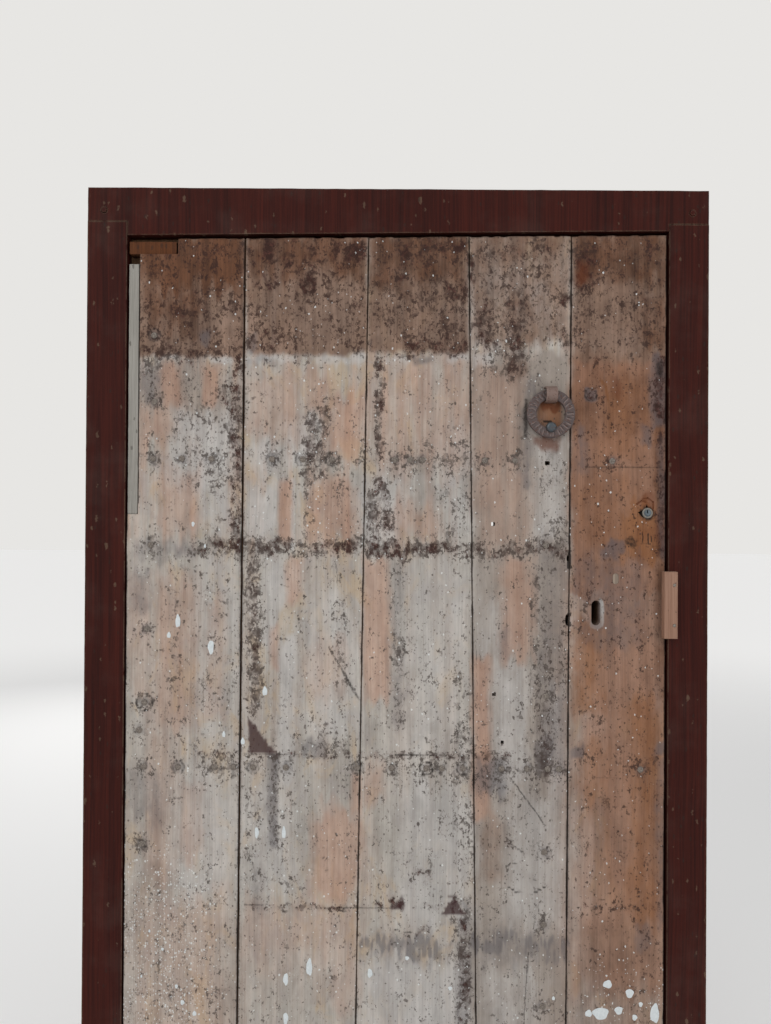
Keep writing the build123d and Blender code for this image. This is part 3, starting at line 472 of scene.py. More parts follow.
timberLooks = {  # two tones of the timber, how much dust it has, and the fineness of its grain
    "framePaint": {"slot": "frame_paint", "tones": ("280c08", "431810"), "dust": 0.12, "across": 300.0,
                   "rough": 0.72, "bump": (0.35, 0.0008), "specular": 0.15, "bareTones": ("4d3a2e", "6b5646"),
                   "worn": 0.26},
    "freshWood": {"slot": "fresh_wood", "tones": ("83604d", "a17d69"), "dust": 0.1, "across": 520.0, "rough": 0.7,
                  "bump": (0.25, 0.0005), "specular": 0.3},
    "backFraming": {"slot": "back_framing", "tones": ("5c4431", "85664c"), "dust": 0.35, "across": 300.0,
                    "rough": 0.8, "bump": (0.4, 0.001), "specular": 0.25},
    "paleLath": {"slot": "pale_lath", "tones": ("807c75", "a5a199"), "dust": 0.1, "across": 600.0, "rough": 0.8,
                 "bump": (0.3, 0.0005), "specular": 0.25},
    "plugWood": {"slot": "pale_lath", "tones": ("7d6f62", "a39282"), "dust": 0.1, "across": 600.0, "rough": 0.8,
                 "bump": (0.3, 0.0005), "specular": 0.25},
    "patchWood": {"slot": "patch_wood", "tones": ("40220f", "62381c"), "dust": 0.05, "across": 380.0, "rough": 0.85,
                  "bump": (0.3, 0.0006), "specular": 0.3},
}
specksTone, timberDust = hexColour("2a211c"), hexColour("9d948a")


def timberColour(look):
    def build(tree, coords):
        lines = useGroup(tree, grain, Vector=coords, Across=look["across"], Wander=0.03)
        mixed = timesPlus(tree, spread(tree, lines.outputs["Fine"], 0.3, 0.7), 0.6,
                          times(tree, spread(tree, lines.outputs["Broad"], 0.3, 0.7), 0.4))
        colour = mixColour(tree, mixed, *(hexColour(code) for code in look["tones"]))
        if "worn" in look:
            bareWood = mixColour(tree, mixed, *(hexColour(code) for code in look["bareTones"]))
            gone = useGroup(tree, wear, Vector=coords, Reach=0.004, Size=55.0, Amount=look["worn"]).outputs[0]
            colour = mixColour(tree, gone, colour, bareWood)
            spots = useGroup(tree, specks, Vector=coords, Amount=0.10, Size=120.0, Tall=0.5).outputs[0]
            colour = mixColour(tree, times(tree, spots, 0.7), colour, bareWood)
        darkSpots = useGroup(tree, specks, Vector=coords, Amount=0.08, Size=240.0, Tall=0.4).outputs[0]
        colour = mixColour(tree, times(tree, darkSpots, 0.5), colour, specksTone)
        grey = useGroup(tree, dust, Vector=coords, Amount=look["dust"]).outputs[0]
        return mixColour(tree, grey, colour, timberDust)
    return build


def timberRelief(tree, coords):
    lines = useGroup(tree, grain, Vector=coords, Across=300.0, Wander=0.03)
    return timesPlus(tree, lines.outputs["Broad"], 0.4, lines.outputs["Fine"])


for name, look in timberLooks.items():
    newMaterial(name, look["slot"], timberColour(look), look["rough"], 0.0, timberRelief, *look["bump"],
                look["specular"])

metalLooks = {  # two tones, rust and its amount, bright edges and theirs, then how rough, how metallic and how dented
    "oldIron": {"slot": "old_iron", "tones": ("2b2422", "433833"), "rust": ("4a2f22", 0.55),
                "edge": ("5f5550", 0.35), "rough": (0.5, 0.85), "metallic": 0.35, "bump": (0.6, 0.0006)},
    "knockerIron": {"slot": "knocker_iron", "tones": ("463c3b", "655a59"), "rust": ("4e3732", 0.45),
                    "edge": ("81756f", 0.4), "reach": 0.0012, "size": 300.0, "dust": 0.02, "marked": True,
                    "rough": (0.42, 0.7, 260.0), "metallic": 0.45, "bump": (0.5, 0.0004)},
    "claspIron": {"slot": "knocker_iron", "tones": ("6d5a53", "8d766c"), "rust": ("5e4038", 0.4),
                  "edge": ("a18b80", 0.45), "size": 300.0, "dust": 0.05, "rough": (0.5, 0.75, 260.0),
                  "metallic": 0.2, "bump": (0.5, 0.0004)},
    "strikerSteel": {"slot": "striker_steel", "tones": ("383e43", "575f65"), "rust": ("453b39", 0.4),
                     "edge": ("757d82", 0.35), "size": 300.0, "rough": (0.3, 0.55, 300.0), "metallic": 0.6,
                     "bump": (0.35, 0.0003)},
    "lockIron": {"slot": "lock_iron", "tones": ("161414", "262322"), "rust": ("4a3125", 0.38),
                 "edge": ("6b655f", 0.42), "reach": 0.0015, "size": 70.0, "dust": 0.3, "rough": (0.32, 0.7, 80.0),
                 "metallic": 0.3, "bump": (0.3, 0.0005)},
    "boltSteel": {"slot": "bolt_steel", "tones": ("77736c", "9a958c"), "rust": ("5f4a3c", 0.35),
                  "edge": ("b8b4ac", 0.4), "rough": (0.3, 0.6, 120.0), "metallic": 0.8, "bump": (0.3, 0.0004)},
    "cylinderMetal": {"slot": "cylinder_metal", "tones": ("68645e", "89847c"), "rust": ("57504a", 0.3),
                      "edge": ("aaa59d", 0.4), "reach": 0.0008, "size": 400.0, "rough": (0.28, 0.5, 400.0),
                      "metallic": 0.7, "bump": (0.3, 0.0002)},
    "plugMetal": {"slot": "plug_metal", "tones": ("444c52", "616b71"), "rust": ("484340", 0.3),
                  "edge": ("7d878c", 0.35), "reach": 0.0006, "size": 500.0, "rough": (0.3, 0.5, 500.0),
                  "metallic": 0.7, "bump": (0.3, 0.0002)},
    "knobBrass": {"slot": "knob_brass", "tones": ("7b5f2c", "a58544"), "rust": ("4d3a20", 0.35),
                  "edge": ("c2a35e", 0.45), "reach": 0.0012, "size": 160.0, "rough": (0.28, 0.6, 160.0),
                  "metallic": 0.85, "bump": (0.3, 0.0003)},
}


def metalColour(look):
    size = look.get("size", 120.0)

    def build(tree, coords):
        colour = mixColour(tree, noiseOf(tree, coords, size, 4.0, 0.6), *(hexColour(code) for code in look["tones"]))
        rusty = useGroup(tree, rust, Vector=coords, Size=size, Amount=look["rust"][1])
        deep = mixColour(tree, noiseOf(tree, coords, size * 3.0), hexColour(look["rust"][0]), hexColour("5c3a28"))
        colour = mixColour(tree, rusty.outputs["Mask"], colour, deep)
        edgeTone, edgeAmount = look["edge"]
        bright = useGroup(tree, wear, Vector=coords, Reach=look.get("reach", 0.001), Size=size, Amount=edgeAmount)
        colour = mixColour(tree, bright.outputs[0], colour, hexColour(edgeTone))
        if "marked" in look:
            for mask, share, tone in (("mark", 0.8, "2a211f"), ("shine", 0.5, "9c8b86")):
                colour = mixColour(tree, times(tree, maskOf(tree, mask), share), colour, hexColour(tone))
        grey = useGroup(tree, dust, Vector=coords, Amount=look.get("dust", 0.1)).outputs[0]
        return mixColour(tree, grey, colour, hexColour("93897f"))
    return build


def metalRough(low, high, size=140.0):
    def build(tree, coords):
        rusty = useGroup(tree, rust, Vector=coords, Size=size, Amount=0.4)
        uneven = timesPlus(tree, rusty.outputs["Mask"], 0.6, noiseOf(tree, coords, size * 2.0))
        return spread(tree, uneven, 0.3, 1.2, low, high)
    return build


def metalRelief(tree, coords):
    return useGroup(tree, rust, Vector=coords, Size=120.0, Amount=0.5).outputs["Depth"]


for name, look in metalLooks.items():
    newMaterial(name, look["slot"], metalColour(look), metalRough(*look["rough"]), look["metallic"], metalRelief,
                *look["bump"])

# the third tone is near black: painted shade in the sunken middle of each nail head
nailTones = {"dark": "6a615a", "light": "93897f", "pitShade": "080606"}
limeTones = {"dark": "bfc6c8", "light": "e6eaea"}


def nailColour(tree, coords):
    iron = mixColour(tree, spread(tree, noiseOf(tree, coords, 420.0, 4.0), 0.35, 0.65), hexColour(nailTones["dark"]),
                     hexColour(nailTones["light"]))
    # the sunken middle of each head is painted near black: painted shade in the pit
    return mixColour(tree, maskOf(tree, "pitShade"), iron, hexColour(nailTones["pitShade"]))


def limeColour(tree, coords):
    return mixColour(tree, noiseOf(tree, coords, 300.0), hexColour(limeTones["dark"]), hexColour(limeTones["light"]))


newMaterial("nailIron", "old_iron", nailColour, 0.85, 0.0, metalRelief, 0.7, 0.0006, 0.3)
newMaterial("limeDrip", "old_boards", limeColour, 0.75, specular=0.3)
print("materials made,", len(materials))

# Marks on the boards, as boxes, strokes, corners and rings in squares.
marks = {  # left, top, right, bottom, strength, soft edge
    # tone: the first five boxes darken the top of the boards, partly real darker wood, partly painted shade from
    # above
    "tone": [
        (120, 215, 246, 357, 0.95, 8), (246, 215, 368, 354, 0.95, 8), (368, 215, 470, 353, 0.85, 8),
        (470, 215, 572, 345, 0.7, 14), (572, 215, 680, 363, 0.85, 12), (477, 810, 504, 884, 0.5, 14),
        (138, 858, 170, 900, 0.42, 18), (262, 960, 340, 1010, 0.3, 22), (575, 915, 665, 1040, 0.45, 30),
    ],
    "pale": [
        (317, 354, 367, 364, 1.0, 5), (245, 355, 297, 362, 0.9, 5), (159, 352, 177, 358, 0.9, 4),
        (208, 354, 232, 362, 0.9, 5), (446, 354, 468, 362, 0.9, 5), (472, 349, 495, 364, 0.9, 6),
        (577, 355, 630, 361, 0.3, 5), (386, 356, 410, 362, 0.7, 5), (170, 413, 236, 490, 0.85, 22),
        (246, 443, 280, 476, 0.85, 14), (283, 415, 318, 462, 0.75, 14), (247, 488, 279, 541, 0.8, 14),
        (206, 490, 233, 537, 0.8, 12), (356, 470, 410, 545, 0.75, 20), (440, 420, 470, 540, 0.6, 20),
        (470, 600, 520, 740, 0.45, 30), (262, 560, 282, 650, 0.75, 12), (279, 640, 295, 780, 0.95, 9),
        (195, 560, 243, 750, 0.5, 24), (302, 590, 358, 740, 0.6, 26), (400, 560, 472, 760, 0.5, 26),
        (400, 780, 472, 930, 0.75, 26), (365, 960, 470, 1060, 0.9, 26), (490, 660, 528, 790, 0.75, 22),
        (548, 690, 568, 800, 0.7, 14), (505, 790, 568, 930, 0.62, 24), (480, 960, 540, 1060, 0.55, 30),
        (170, 760, 240, 900, 0.55, 30), (245, 780, 300, 900, 0.6, 24), (532, 430, 566, 545, 0.6, 16),
        (250, 900, 330, 960, 0.3, 24), (478, 255, 560, 345, 0.5, 26), (215, 290, 243, 345, 0.45, 16),
        (300, 300, 362, 350, 0.4, 20), (600, 330, 640, 352, 0.7, 12), (440, 300, 468, 340, 0.55, 14),
        (285, 564, 300, 600, 0.6, 8),
    ],
    "bare": [
        (161, 362, 181, 410, 0.85, 10), (203, 362, 219, 403, 0.9, 7), (139, 409, 168, 442, 0.6, 14),
        (302, 371, 330, 410, 0.62, 12), (327, 394, 366, 452, 0.85, 14), (279, 478, 292, 541, 1.0, 5),
        (311, 476, 356, 541, 0.75, 14), (157, 470, 200, 536, 0.6, 16), (246, 366, 300, 440, 0.45, 14),
        (363, 558, 390, 700, 0.85, 7), (153, 578, 196, 735, 0.55, 20), (130, 575, 150, 700, 0.4, 12),
        (287, 556, 302, 602, 0.75, 6), (313, 812, 360, 898, 0.85, 16), (351, 772, 362, 816, 0.8, 6),
        (362, 764, 384, 800, 0.55, 10), (503, 556, 531, 655, 0.8, 12), (473, 655, 490, 820, 0.95, 7),
        (372, 365, 470, 470, 0.42, 24), (474, 366, 520, 520, 0.5, 20), (270, 625, 279, 668, 0.6, 5),
        (150, 735, 175, 880, 0.4, 16), (240, 905, 356, 960, 0.42, 26), (382, 500, 440, 540, 0.5, 16),
        (480, 470, 530, 545, 0.42, 18), (310, 640, 345, 700, 0.4, 20), (130, 900, 236, 1060, 0.4, 30),
        (205, 600, 225, 720, 0.42, 10), (332, 905, 358, 1010, 0.45, 14), (180, 780, 200, 860, 0.42, 10),
    ],
    "dull": [
        (470, 352, 572, 470, 0.95, 10), (470, 470, 572, 1300, 0.85, 12), (120, 362, 236, 440, 0.6, 24),
        (385, 440, 470, 475, 0.5, 16),
    ],
    # umber: the boxes along the top darken it further, partly real darker wood, partly painted shade from above
    "umber": [
        (138, 228, 246, 292, 0.95, 18), (140, 285, 205, 330, 0.62, 20), (246, 228, 368, 275, 0.68, 18),
        (370, 228, 470, 290, 0.68, 18), (572, 228, 668, 285, 0.7, 18), (640, 290, 668, 350, 0.6, 12),
        (480, 230, 560, 262, 0.45, 14), (500, 300, 532, 380, 0.4, 14), (652, 352, 668, 560, 0.7, 8),
        (655, 560, 668, 700, 0.5, 7), (576, 365, 668, 440, 0.42, 18),
    ],
    "amber": [
        (618, 505, 664, 560, 0.85, 12), (575, 480, 640, 545, 0.4, 20), (572, 620, 600, 720, 0.7, 14),
        (630, 700, 664, 930, 0.6, 16), (600, 380, 640, 460, 0.5, 16), (572, 740, 610, 800, 0.45, 14),
        (640, 380, 664, 450, 0.4, 10), (580, 235, 600, 300, 0.6, 9), (538, 401, 563, 428, 0.9, 5),
        (196, 330, 232, 352, 0.4, 8),
    ],
    "warm": [
        (570, 352, 690, 600, 0.95, 10), (570, 560, 690, 1010, 0.85, 60), (570, 215, 690, 352, 0.35, 20),
        (625, 515, 668, 570, 0.6, 14), (570, 960, 690, 1300, 0.55, 90),
    ],
    "smudge": [
        (138, 362, 161, 405, 0.6, 12), (198, 328, 211, 346, 0.85, 8), (412, 355, 434, 364, 0.8, 5),
        (520, 404, 533, 488, 0.6, 9), (523, 383, 545, 405, 0.6, 12), (534, 540, 568, 760, 0.42, 14),
        (537, 620, 558, 730, 0.5, 10), (585, 388, 598, 401, 0.98, 3), (390, 562, 404, 735, 0.5, 9),
        (268, 752, 279, 845, 0.85, 6), (300, 736, 329, 755, 0.8, 8), (475, 758, 506, 796, 0.9, 12),
        (535, 736, 556, 777, 0.8, 10), (362, 932, 438, 962, 0.42, 14), (438, 938, 476, 958, 0.3, 12),
        (475, 926, 562, 966, 0.42, 16), (578, 556, 645, 650, 0.52, 22), (610, 538, 626, 552, 0.9, 4),
        (572, 440, 590, 480, 0.5, 8), (651, 357, 668, 430, 0.9, 8), (643, 424, 653, 448, 0.8, 6),
        (577, 424, 585, 474, 0.7, 6), (571, 742, 583, 757, 0.95, 6), (655, 742, 668, 757, 0.95, 6),
        (600, 542, 620, 562, 0.8, 7), (125, 762, 168, 818, 0.55, 16), (129, 570, 152, 615, 0.6, 12),
        (455, 900, 472, 1040, 0.55, 7), (636, 925, 650, 950, 0.6, 8), (252, 862, 262, 960, 0.4, 7),
        (246, 330, 257, 352, 0.7, 6), (658, 440, 668, 560, 0.6, 6), (655, 760, 668, 930, 0.5, 7),
        (244, 356, 280, 366, 0.5, 5), (130, 540, 200, 560, 0.5, 10), (571, 560, 583, 600, 0.5, 6),
        (498, 630, 512, 660, 0.5, 8),
    ],
    "residue": [
        (138, 238, 248, 350, 0.36, 16), (248, 238, 368, 350, 0.34, 16), (370, 238, 470, 350, 0.38, 16),
        (480, 238, 568, 330, 0.3, 16), (574, 240, 668, 350, 0.34, 16), (138, 352, 250, 420, 0.3, 20),
        (262, 238, 276, 282, 0.95, 6), (283, 238, 297, 266, 0.9, 7), (296, 260, 318, 299, 0.95, 9),
        (330, 240, 367, 271, 0.95, 10), (249, 252, 263, 265, 0.75, 6), (262, 271, 272, 294, 0.85, 5),
        (248, 282, 262, 292, 0.75, 5), (212, 240, 220, 282, 0.62, 5), (341, 299, 367, 311, 0.72, 7),
        (167, 303, 186, 322, 0.8, 8), (227, 290, 246, 311, 0.72, 8), (199, 294, 211, 327, 0.72, 7),
        (138, 346, 246, 354, 0.72, 6), (178, 346, 198, 367, 0.92, 7), (231, 354, 246, 380, 0.95, 6),
        (221, 380, 241, 408, 0.88, 8), (229, 406, 241, 545, 0.86, 5), (245, 329, 258, 354, 0.8, 6),
        (262, 331, 276, 354, 0.8, 6), (294, 352, 314, 365, 0.7, 6), (408, 237, 471, 252, 0.88, 7),
        (395, 237, 413, 296, 0.78, 9), (414, 243, 439, 269, 0.78, 9), (467, 252, 477, 284, 0.92, 5),
        (443, 282, 471, 304, 0.85, 8), (437, 304, 454, 324, 0.8, 7), (404, 338, 469, 357, 0.86, 7),
        (471, 303, 494, 333, 0.82, 8), (479, 335, 499, 352, 0.85, 7), (501, 300, 516, 312, 0.8, 6),
        (519, 300, 533, 311, 0.75, 6), (505, 318, 524, 380, 0.76, 8), (561, 290, 573, 307, 0.95, 5),
        (575, 241, 601, 291, 1.0, 9), (563, 324, 573, 354, 0.8, 5), (185, 543, 470, 556, 0.62, 5),
        (206, 538, 247, 552, 0.9, 5), (320, 541, 361, 557, 0.98, 6), (262, 540, 294, 556, 0.85, 6),
        (366, 541, 410, 560, 0.92, 6), (410, 543, 470, 555, 0.85, 5), (470, 543, 572, 556, 0.72, 7),
        (374, 352, 384, 462, 0.78, 5), (654, 352, 668, 432, 0.85, 6), (656, 430, 668, 560, 0.6, 6),
        (586, 389, 597, 400, 0.55, 3), (232, 545, 244, 565, 0.85, 5), (245, 556, 262, 715, 0.5, 8),
        (251, 608, 261, 672, 0.8, 6), (395, 356, 408, 362, 0.7, 5), (195, 751, 512, 759, 0.6, 3),
        (250, 903, 405, 909, 0.72, 3), (405, 903, 440, 908, 0.55, 3), (575, 903, 662, 909, 0.55, 3),
        (130, 988, 236, 994, 0.55, 4), (390, 895, 404, 909, 0.98, 5), (458, 915, 470, 1060, 0.72, 6),
        (536, 700, 552, 780, 0.6, 8), (366, 480, 394, 542, 0.66, 12), (305, 400, 332, 440, 0.62, 10),
        (300, 425, 326, 480, 0.6, 10), (596, 355, 606, 372, 0.75, 5), (644, 238, 668, 262, 0.7, 8),
        (140, 240, 260, 262, 0.6, 10), (480, 240, 560, 262, 0.55, 10), (414, 925, 430, 935, 0.5, 5),
        (412, 866, 432, 884, 0.8, 5), (503, 818, 516, 850, 0.55, 6),
    ],
    "fleck": [
        (110, 200, 700, 1250, 0.11, 10), (130, 238, 572, 352, 0.3, 12), (572, 238, 668, 352, 0.26, 12),
        (170, 413, 240, 492, 0.5, 16), (190, 440, 225, 475, 0.72, 10), (309, 400, 331, 441, 0.66, 8),
        (300, 425, 326, 480, 0.62, 10), (329, 474, 348, 506, 0.55, 8), (303, 474, 312, 526, 0.6, 5),
        (366, 486, 394, 548, 0.78, 9), (352, 446, 370, 470, 0.5, 8), (245, 558, 264, 712, 0.7, 7),
        (330, 565, 350, 680, 0.48, 12), (388, 560, 406, 735, 0.5, 9), (396, 440, 470, 475, 0.5, 12),
        (440, 480, 470, 545, 0.5, 12), (453, 660, 472, 760, 0.6, 7), (400, 640, 450, 700, 0.3, 20),
        (528, 560, 556, 735, 0.5, 12), (532, 735, 560, 780, 0.6, 10), (475, 755, 512, 800, 0.62, 10),
        (192, 740, 244, 790, 0.45, 12), (160, 560, 240, 740, 0.26, 20), (268, 740, 282, 850, 0.5, 7),
        (290, 700, 350, 760, 0.36, 16), (392, 755, 470, 790, 0.5, 12), (455, 790, 474, 940, 0.5, 6),
        (244, 770, 262, 900, 0.42, 6), (125, 870, 240, 1060, 0.24, 30), (450, 900, 474, 1060, 0.5, 8),
        (573, 357, 668, 930, 0.2, 12), (575, 745, 668, 770, 0.42, 8), (575, 898, 668, 915, 0.42, 8),
        (185, 536, 572, 560, 0.55, 7), (138, 340, 250, 368, 0.5, 9), (480, 300, 530, 380, 0.5, 12),
        (640, 430, 668, 520, 0.3, 10), (345, 820, 362, 960, 0.3, 8), (280, 790, 300, 900, 0.3, 8),
        (540, 450, 568, 545, 0.42, 10), (130, 440, 160, 470, 0.42, 10), (268, 362, 272, 560, 0.25, 6),
        (228, 406, 244, 560, 0.5, 5), (374, 352, 386, 462, 0.5, 6), (560, 600, 572, 700, 0.5, 6),
        (500, 1000, 530, 1060, 0.3, 12),
    ],
    "white": [
        (120, 860, 205, 1100, 0.95, 40), (110, 352, 668, 1250, 0.035, 60), (130, 238, 668, 352, 0.03, 20),
        (290, 290, 350, 560, 0.12, 40), (590, 960, 668, 1100, 0.3, 30), (240, 300, 560, 560, 0.06, 40),
        (480, 930, 570, 1100, 0.1, 30), (200, 800, 380, 1100, 0.08, 40), (120, 1100, 700, 1300, 0.2, 60),
    ],
    "rust": [
        (532, 434, 563, 449, 0.75, 8), (541, 433, 556, 446, 1.0, 6), (541, 401, 561, 411, 1.1, 5),
        (577, 262, 590, 285, 0.75, 9), (612, 376, 622, 402, 0.5, 6), (633, 526, 664, 545, 0.4, 8),
        (640, 494, 656, 512, 0.6, 7),
    ],
    "grimeAndShade": [
        (524, 398, 529, 440, 0.72, 4), (544, 450, 560, 462, 0.35, 6), (630, 536, 637, 546, 0.6, 4),
        (655, 357, 664, 376, 0.6, 5), (236, 460, 245, 1200, 0.25, 4),
    ],
    "wash": [
        (100, 200, 700, 548, 0.5, 20), (100, 540, 700, 1300, 0.16, 40),
    ],
}
dashes = {  # from, to, width, strength
    "grimeAndShade": [
        (329, 647, 343, 671, 1.8, 0.58), (343, 671, 358, 698, 2.4, 0.62), (512, 780, 546, 826, 1.3, 0.66),
        (585, 467, 662, 467, 0.8, 0.55), (578, 776, 662, 780, 0.8, 0.4), (395, 755, 516, 756.5, 1.0, 0.8),
        (507, 885, 516, 892, 1.3, 0.75), (516, 892, 532, 893, 1.3, 0.75), (532, 893, 547, 885, 1.3, 0.75),
        (506, 865, 520, 861, 1.1, 0.6), (520, 861, 540, 862, 1.1, 0.55), (395, 929, 412, 932, 1.2, 0.6),
        (508, 842, 524, 852, 1.6, 0.6), (264.5, 356, 264, 365, 1.0, 0.6), (528, 950, 522, 1040, 1.1, 0.6),
        (476, 640, 478, 760, 0.7, 0.5), (531, 600, 530, 760, 0.7, 0.45), (245, 754, 300, 754.5, 1.0, 0.5),
        (336, 560, 337, 585, 1.0, 0.5), (544.5, 421.5, 552, 421.2, 1.0, 1.0), (643, 534, 643, 543, 0.9, 0.8),
        (648, 534, 648.5, 545, 1.0, 0.8), (651, 536, 651, 542, 0.8, 0.7), (655, 538, 655, 541, 0.8, 0.7),
        (640, 543, 662, 547, 1.4, 0.45), (245, 904, 310, 906, 0.9, 0.55), (310, 906, 404, 908, 0.9, 0.55),
    ],
    "smudge": [
        (364, 944, 384, 944, 7.0, 0.8), (384, 942, 434, 946, 11.0, 1.0), (404, 952, 438, 954, 8.0, 0.9),
        (438, 946, 474, 948, 7.0, 0.5), (474, 941, 500, 944, 11.0, 1.0), (500, 936, 562, 946, 11.0, 0.7),
        (520, 950, 562, 956, 8.0, 0.6),
    ],
    "solid": [
        (448, 895, 457, 895, 1.4, 0.8), (262.5, 272, 270, 290, 1.6, 0.6), (424, 928, 416, 934, 1.4, 0.6),
    ],
    "amber": [
        (601, 380, 606, 386, 2.0, 0.9), (606, 386, 608, 400, 2.0, 0.9),
    ],
    "pale": [
        (544.5, 423.6, 547.5, 423.6, 0.9, 1.1), (601.6, 604, 601.2, 622, 1.7, 1.1), (601.2, 622, 597, 628, 1.8, 1.1),
        (583, 532, 586, 537, 1.1, 1.0), (276, 238, 273.5, 345, 3.0, 1.0), (293, 480, 292, 548, 2.0, 1.0),
        (245, 757.5, 258, 757.5, 1.2, 0.9), (198, 600, 196, 760, 2.0, 0.6), (188, 730, 190, 900, 2.4, 0.6),
    ],
}
paintScraps = [  # three corners and strength of each scrap of dark red paint
    ((248.5, 717), (278, 755), (248.5, 752), 0.95), ((440, 914), (466, 914), (454, 897), 0.95),
    ((389, 909), (405, 908), (403, 895), 0.8),
]
ringMarks = [  # middle, radius, thickness, strength
    (591, 394.5, 6.0, 1.8, 0.55), (544, 852, 7.0, 1.2, 0.6), (527, 872, 19.0, 1.0, 0.3), (302.8, 459, 7.2, 1.5, 0.62),
    (332.4, 459, 7.0, 2.6, 0.6), (144.6, 702, 8.0, 2.0, 0.7), (154, 335, 6.0, 1.8, 0.6), (154, 401, 7.0, 1.6, 0.5),
    (426.2, 768, 6.5, 1.8, 0.75), (463, 768, 6.5, 1.6, 0.7), (178.4, 767, 6.0, 2.0, 0.6),
    (357.4, 768, 6.0, 2.0, 0.55), (630, 541, 3.0, 3.2, 0.7), (215, 767, 7.0, 1.6, 0.5), (144, 767, 7.0, 1.8, 0.45),
    (253, 767, 6.0, 1.8, 0.5), (286, 767, 6.5, 1.4, 0.45), (272, 459, 6.0, 1.8, 0.5), (142.4, 843, 5.0, 2.0, 0.5),
]
cracks = [  # square at the top, from, to, drift, depth in metres
    (264.5, 238, 470, -1.5, 0.0010), (301, 560, 700, 3.0, 0.0007), (292.5, 478, 548, 0.0, 0.0010),
    (531, 600, 780, -1.0, 0.0009), (476, 640, 760, 1.0, 0.0006), (195, 560, 820, -4.0, 0.0006),
    (412, 240, 330, 0.0, 0.0007), (401, 240, 300, 0.0, 0.0006), (526, 940, 1200, -6.0, 0.0010),
    (478, 860, 1200, 2.0, 0.0008), (600, 560, 640, 0.0, 0.0005), (345, 800, 1000, 2.0, 0.0005),
    (160, 900, 1200, -2.0, 0.0007), (440, 980, 1250, 3.0, 0.0008), (620, 980, 1250, 3.0, 0.0007),
    (280, 1000, 1250, -3.0, 0.0008),
]

def softBoxes(u, v, rows, seed, wild=1.0):
    du = 9.0 * (hills(u / 11, v / 24, seed) - 0.5) + 4.0 * (hills(u / 3.1, v / 6, seed + 3) - 0.5)
    dv = 26.0 * (hills(u / 6, v / 22, seed + 1) - 0.5) + 5.0 * (hills(u / 2.3, v / 4, seed + 2) - 0.5)
    total = np.zeros_like(u)
    for left, top, right, bottom, strength, soft in rows:
        k = min(1.0, soft / 14) * wild
        soft = soft * 1.5
        a = ramp((u + du * k - left) / soft + 0.5) * ramp((right - u - du * k) / soft + 0.5)
        b = ramp((v + dv * k - top) / soft + 0.5) * ramp((bottom - v - dv * k) / soft + 0.5)
        total = np.maximum(total, strength * a * b)
    return total


def cornerMask(u, v, scraps):
    u, v = u + 3 * (hills(u / 3, v / 3, 71) - 0.5), v + 3 * (hills(u / 3, v / 3, 72) - 0.5)
    total = np.zeros_like(u)
    for a, b, c, strength in scraps:
        turn = math.copysign(1, (b[0] - a[0]) * (c[1] - a[1]) - (b[1] - a[1]) * (c[0] - a[0]))
        inner = np.full_like(u, 99.0)
        for p, q in ((a, b), (b, c), (c, a)):
            across, down = q[0] - p[0], q[1] - p[1]
            inner = np.minimum(inner, turn * (across * (v - p[1]) - down * (u - p[0])) / math.hypot(across, down))
        total = np.maximum(total, strength * ramp(inner / 1.6 + 0.5))
    return total


def lineMask(u, v, rows):
    total = np.zeros_like(u)
    for u0, v0, u1, v1, width, strength in rows:
        length = max(1e-6, (u1 - u0) ** 2 + (v1 - v0) ** 2)
        t = np.clip(((u - u0) * (u1 - u0) + (v - v0) * (v1 - v0)) / length, 0, 1)
        away = np.hypot(u - u0 - t * (u1 - u0), v - v0 - t * (v1 - v0))
        total = np.maximum(total, strength * ramp(1.25 - away / width))
    return total


def slotReach(ku, kv):
    # distance from the middle line of an upright round-ended slot
    return np.hypot(ku, np.clip(np.abs(kv) - keyhole["straight"], 0, None))


# Nails: the middle of each head is found on the real piece, so that dents and stains follow it.
def islandsOf(bm):
    seen = set()
    for vert in bm.verts:
        if vert in seen:
            continue
        island, queue = [], [vert]
        while queue:
            w = queue.pop()
            if w in seen:
                continue
            seen.add(w)
            island.append(w)
            queue += [e.other_vert(w) for e in w.link_edges if e.other_vert(w) not in seen]
        yield island


nailHeads = {}
for row in ("upper_nails", "middle_nails", "lower_nails", "stile_nails"):
    bm = copyNode(row)
    rims = [[w.co for w in island if w.co.y < leafFace + 0.0001] for island in islandsOf(bm)]
    nailHeads[row] = [(sum(p.x for p in rim) / len(rim), sum(p.z for p in rim) / len(rim)) for rim in rims if rim]
    bm.free()
allHeads = [p for heads in nailHeads.values() for p in heads]
print("nails found,", len(allHeads))

# Boards: sizes in metres, and the keyhole in squares.
boardLook = {"column": 0.0019, "row": 0.0042, "fineStep": 0.0012, "cup": 0.0006, "ridge": 0.00022, "hollow": 0.0004,
             "edgeWear": 0.0014, "edgeReach": 0.0028, "dent": 0.0008, "dentReach": 0.0065, "topChip": 0.0035,
             "topReach": 0.006, "footChip": 0.004, "footReach": 0.008, "sawDepth": 0.0016, "top": 1.902,
             "lean": 0.013, "foot": 0.038}
fineAreas = {"across": [(0.335, 0.37), (0.415, 0.468)], "up": [(1.205, 1.28), (1.395, 1.45)]}
keyhole = {"u": 596.0, "v": 613.0, "straight": 8.0, "reach": 4.2, "depth": 0.0022}
cylinderHole = {"u": 647.2, "v": 513, "reach": 7.5}
seamNotches = [(570, 558), (570, 620), (571, 562)]
sawCuts = [(643, 499, 648, 498), (648, 498, 653.5, 502), (653.5, 502, 653.5, 509), (637, 504, 642, 500.5),
           (642, 500.5, 646, 502)]
openSeams = {1: "right", 2: "left"}
# how far each darkening reaches, in metres: round the nails, along the edges, by the open seams and at the top
markReach = {"nailGrime": 0.0048, "nailSmudge": 0.012, "nailFlecks": 0.02, "edge": 0.0022, "seam": 0.0025,
              "top": 0.004}


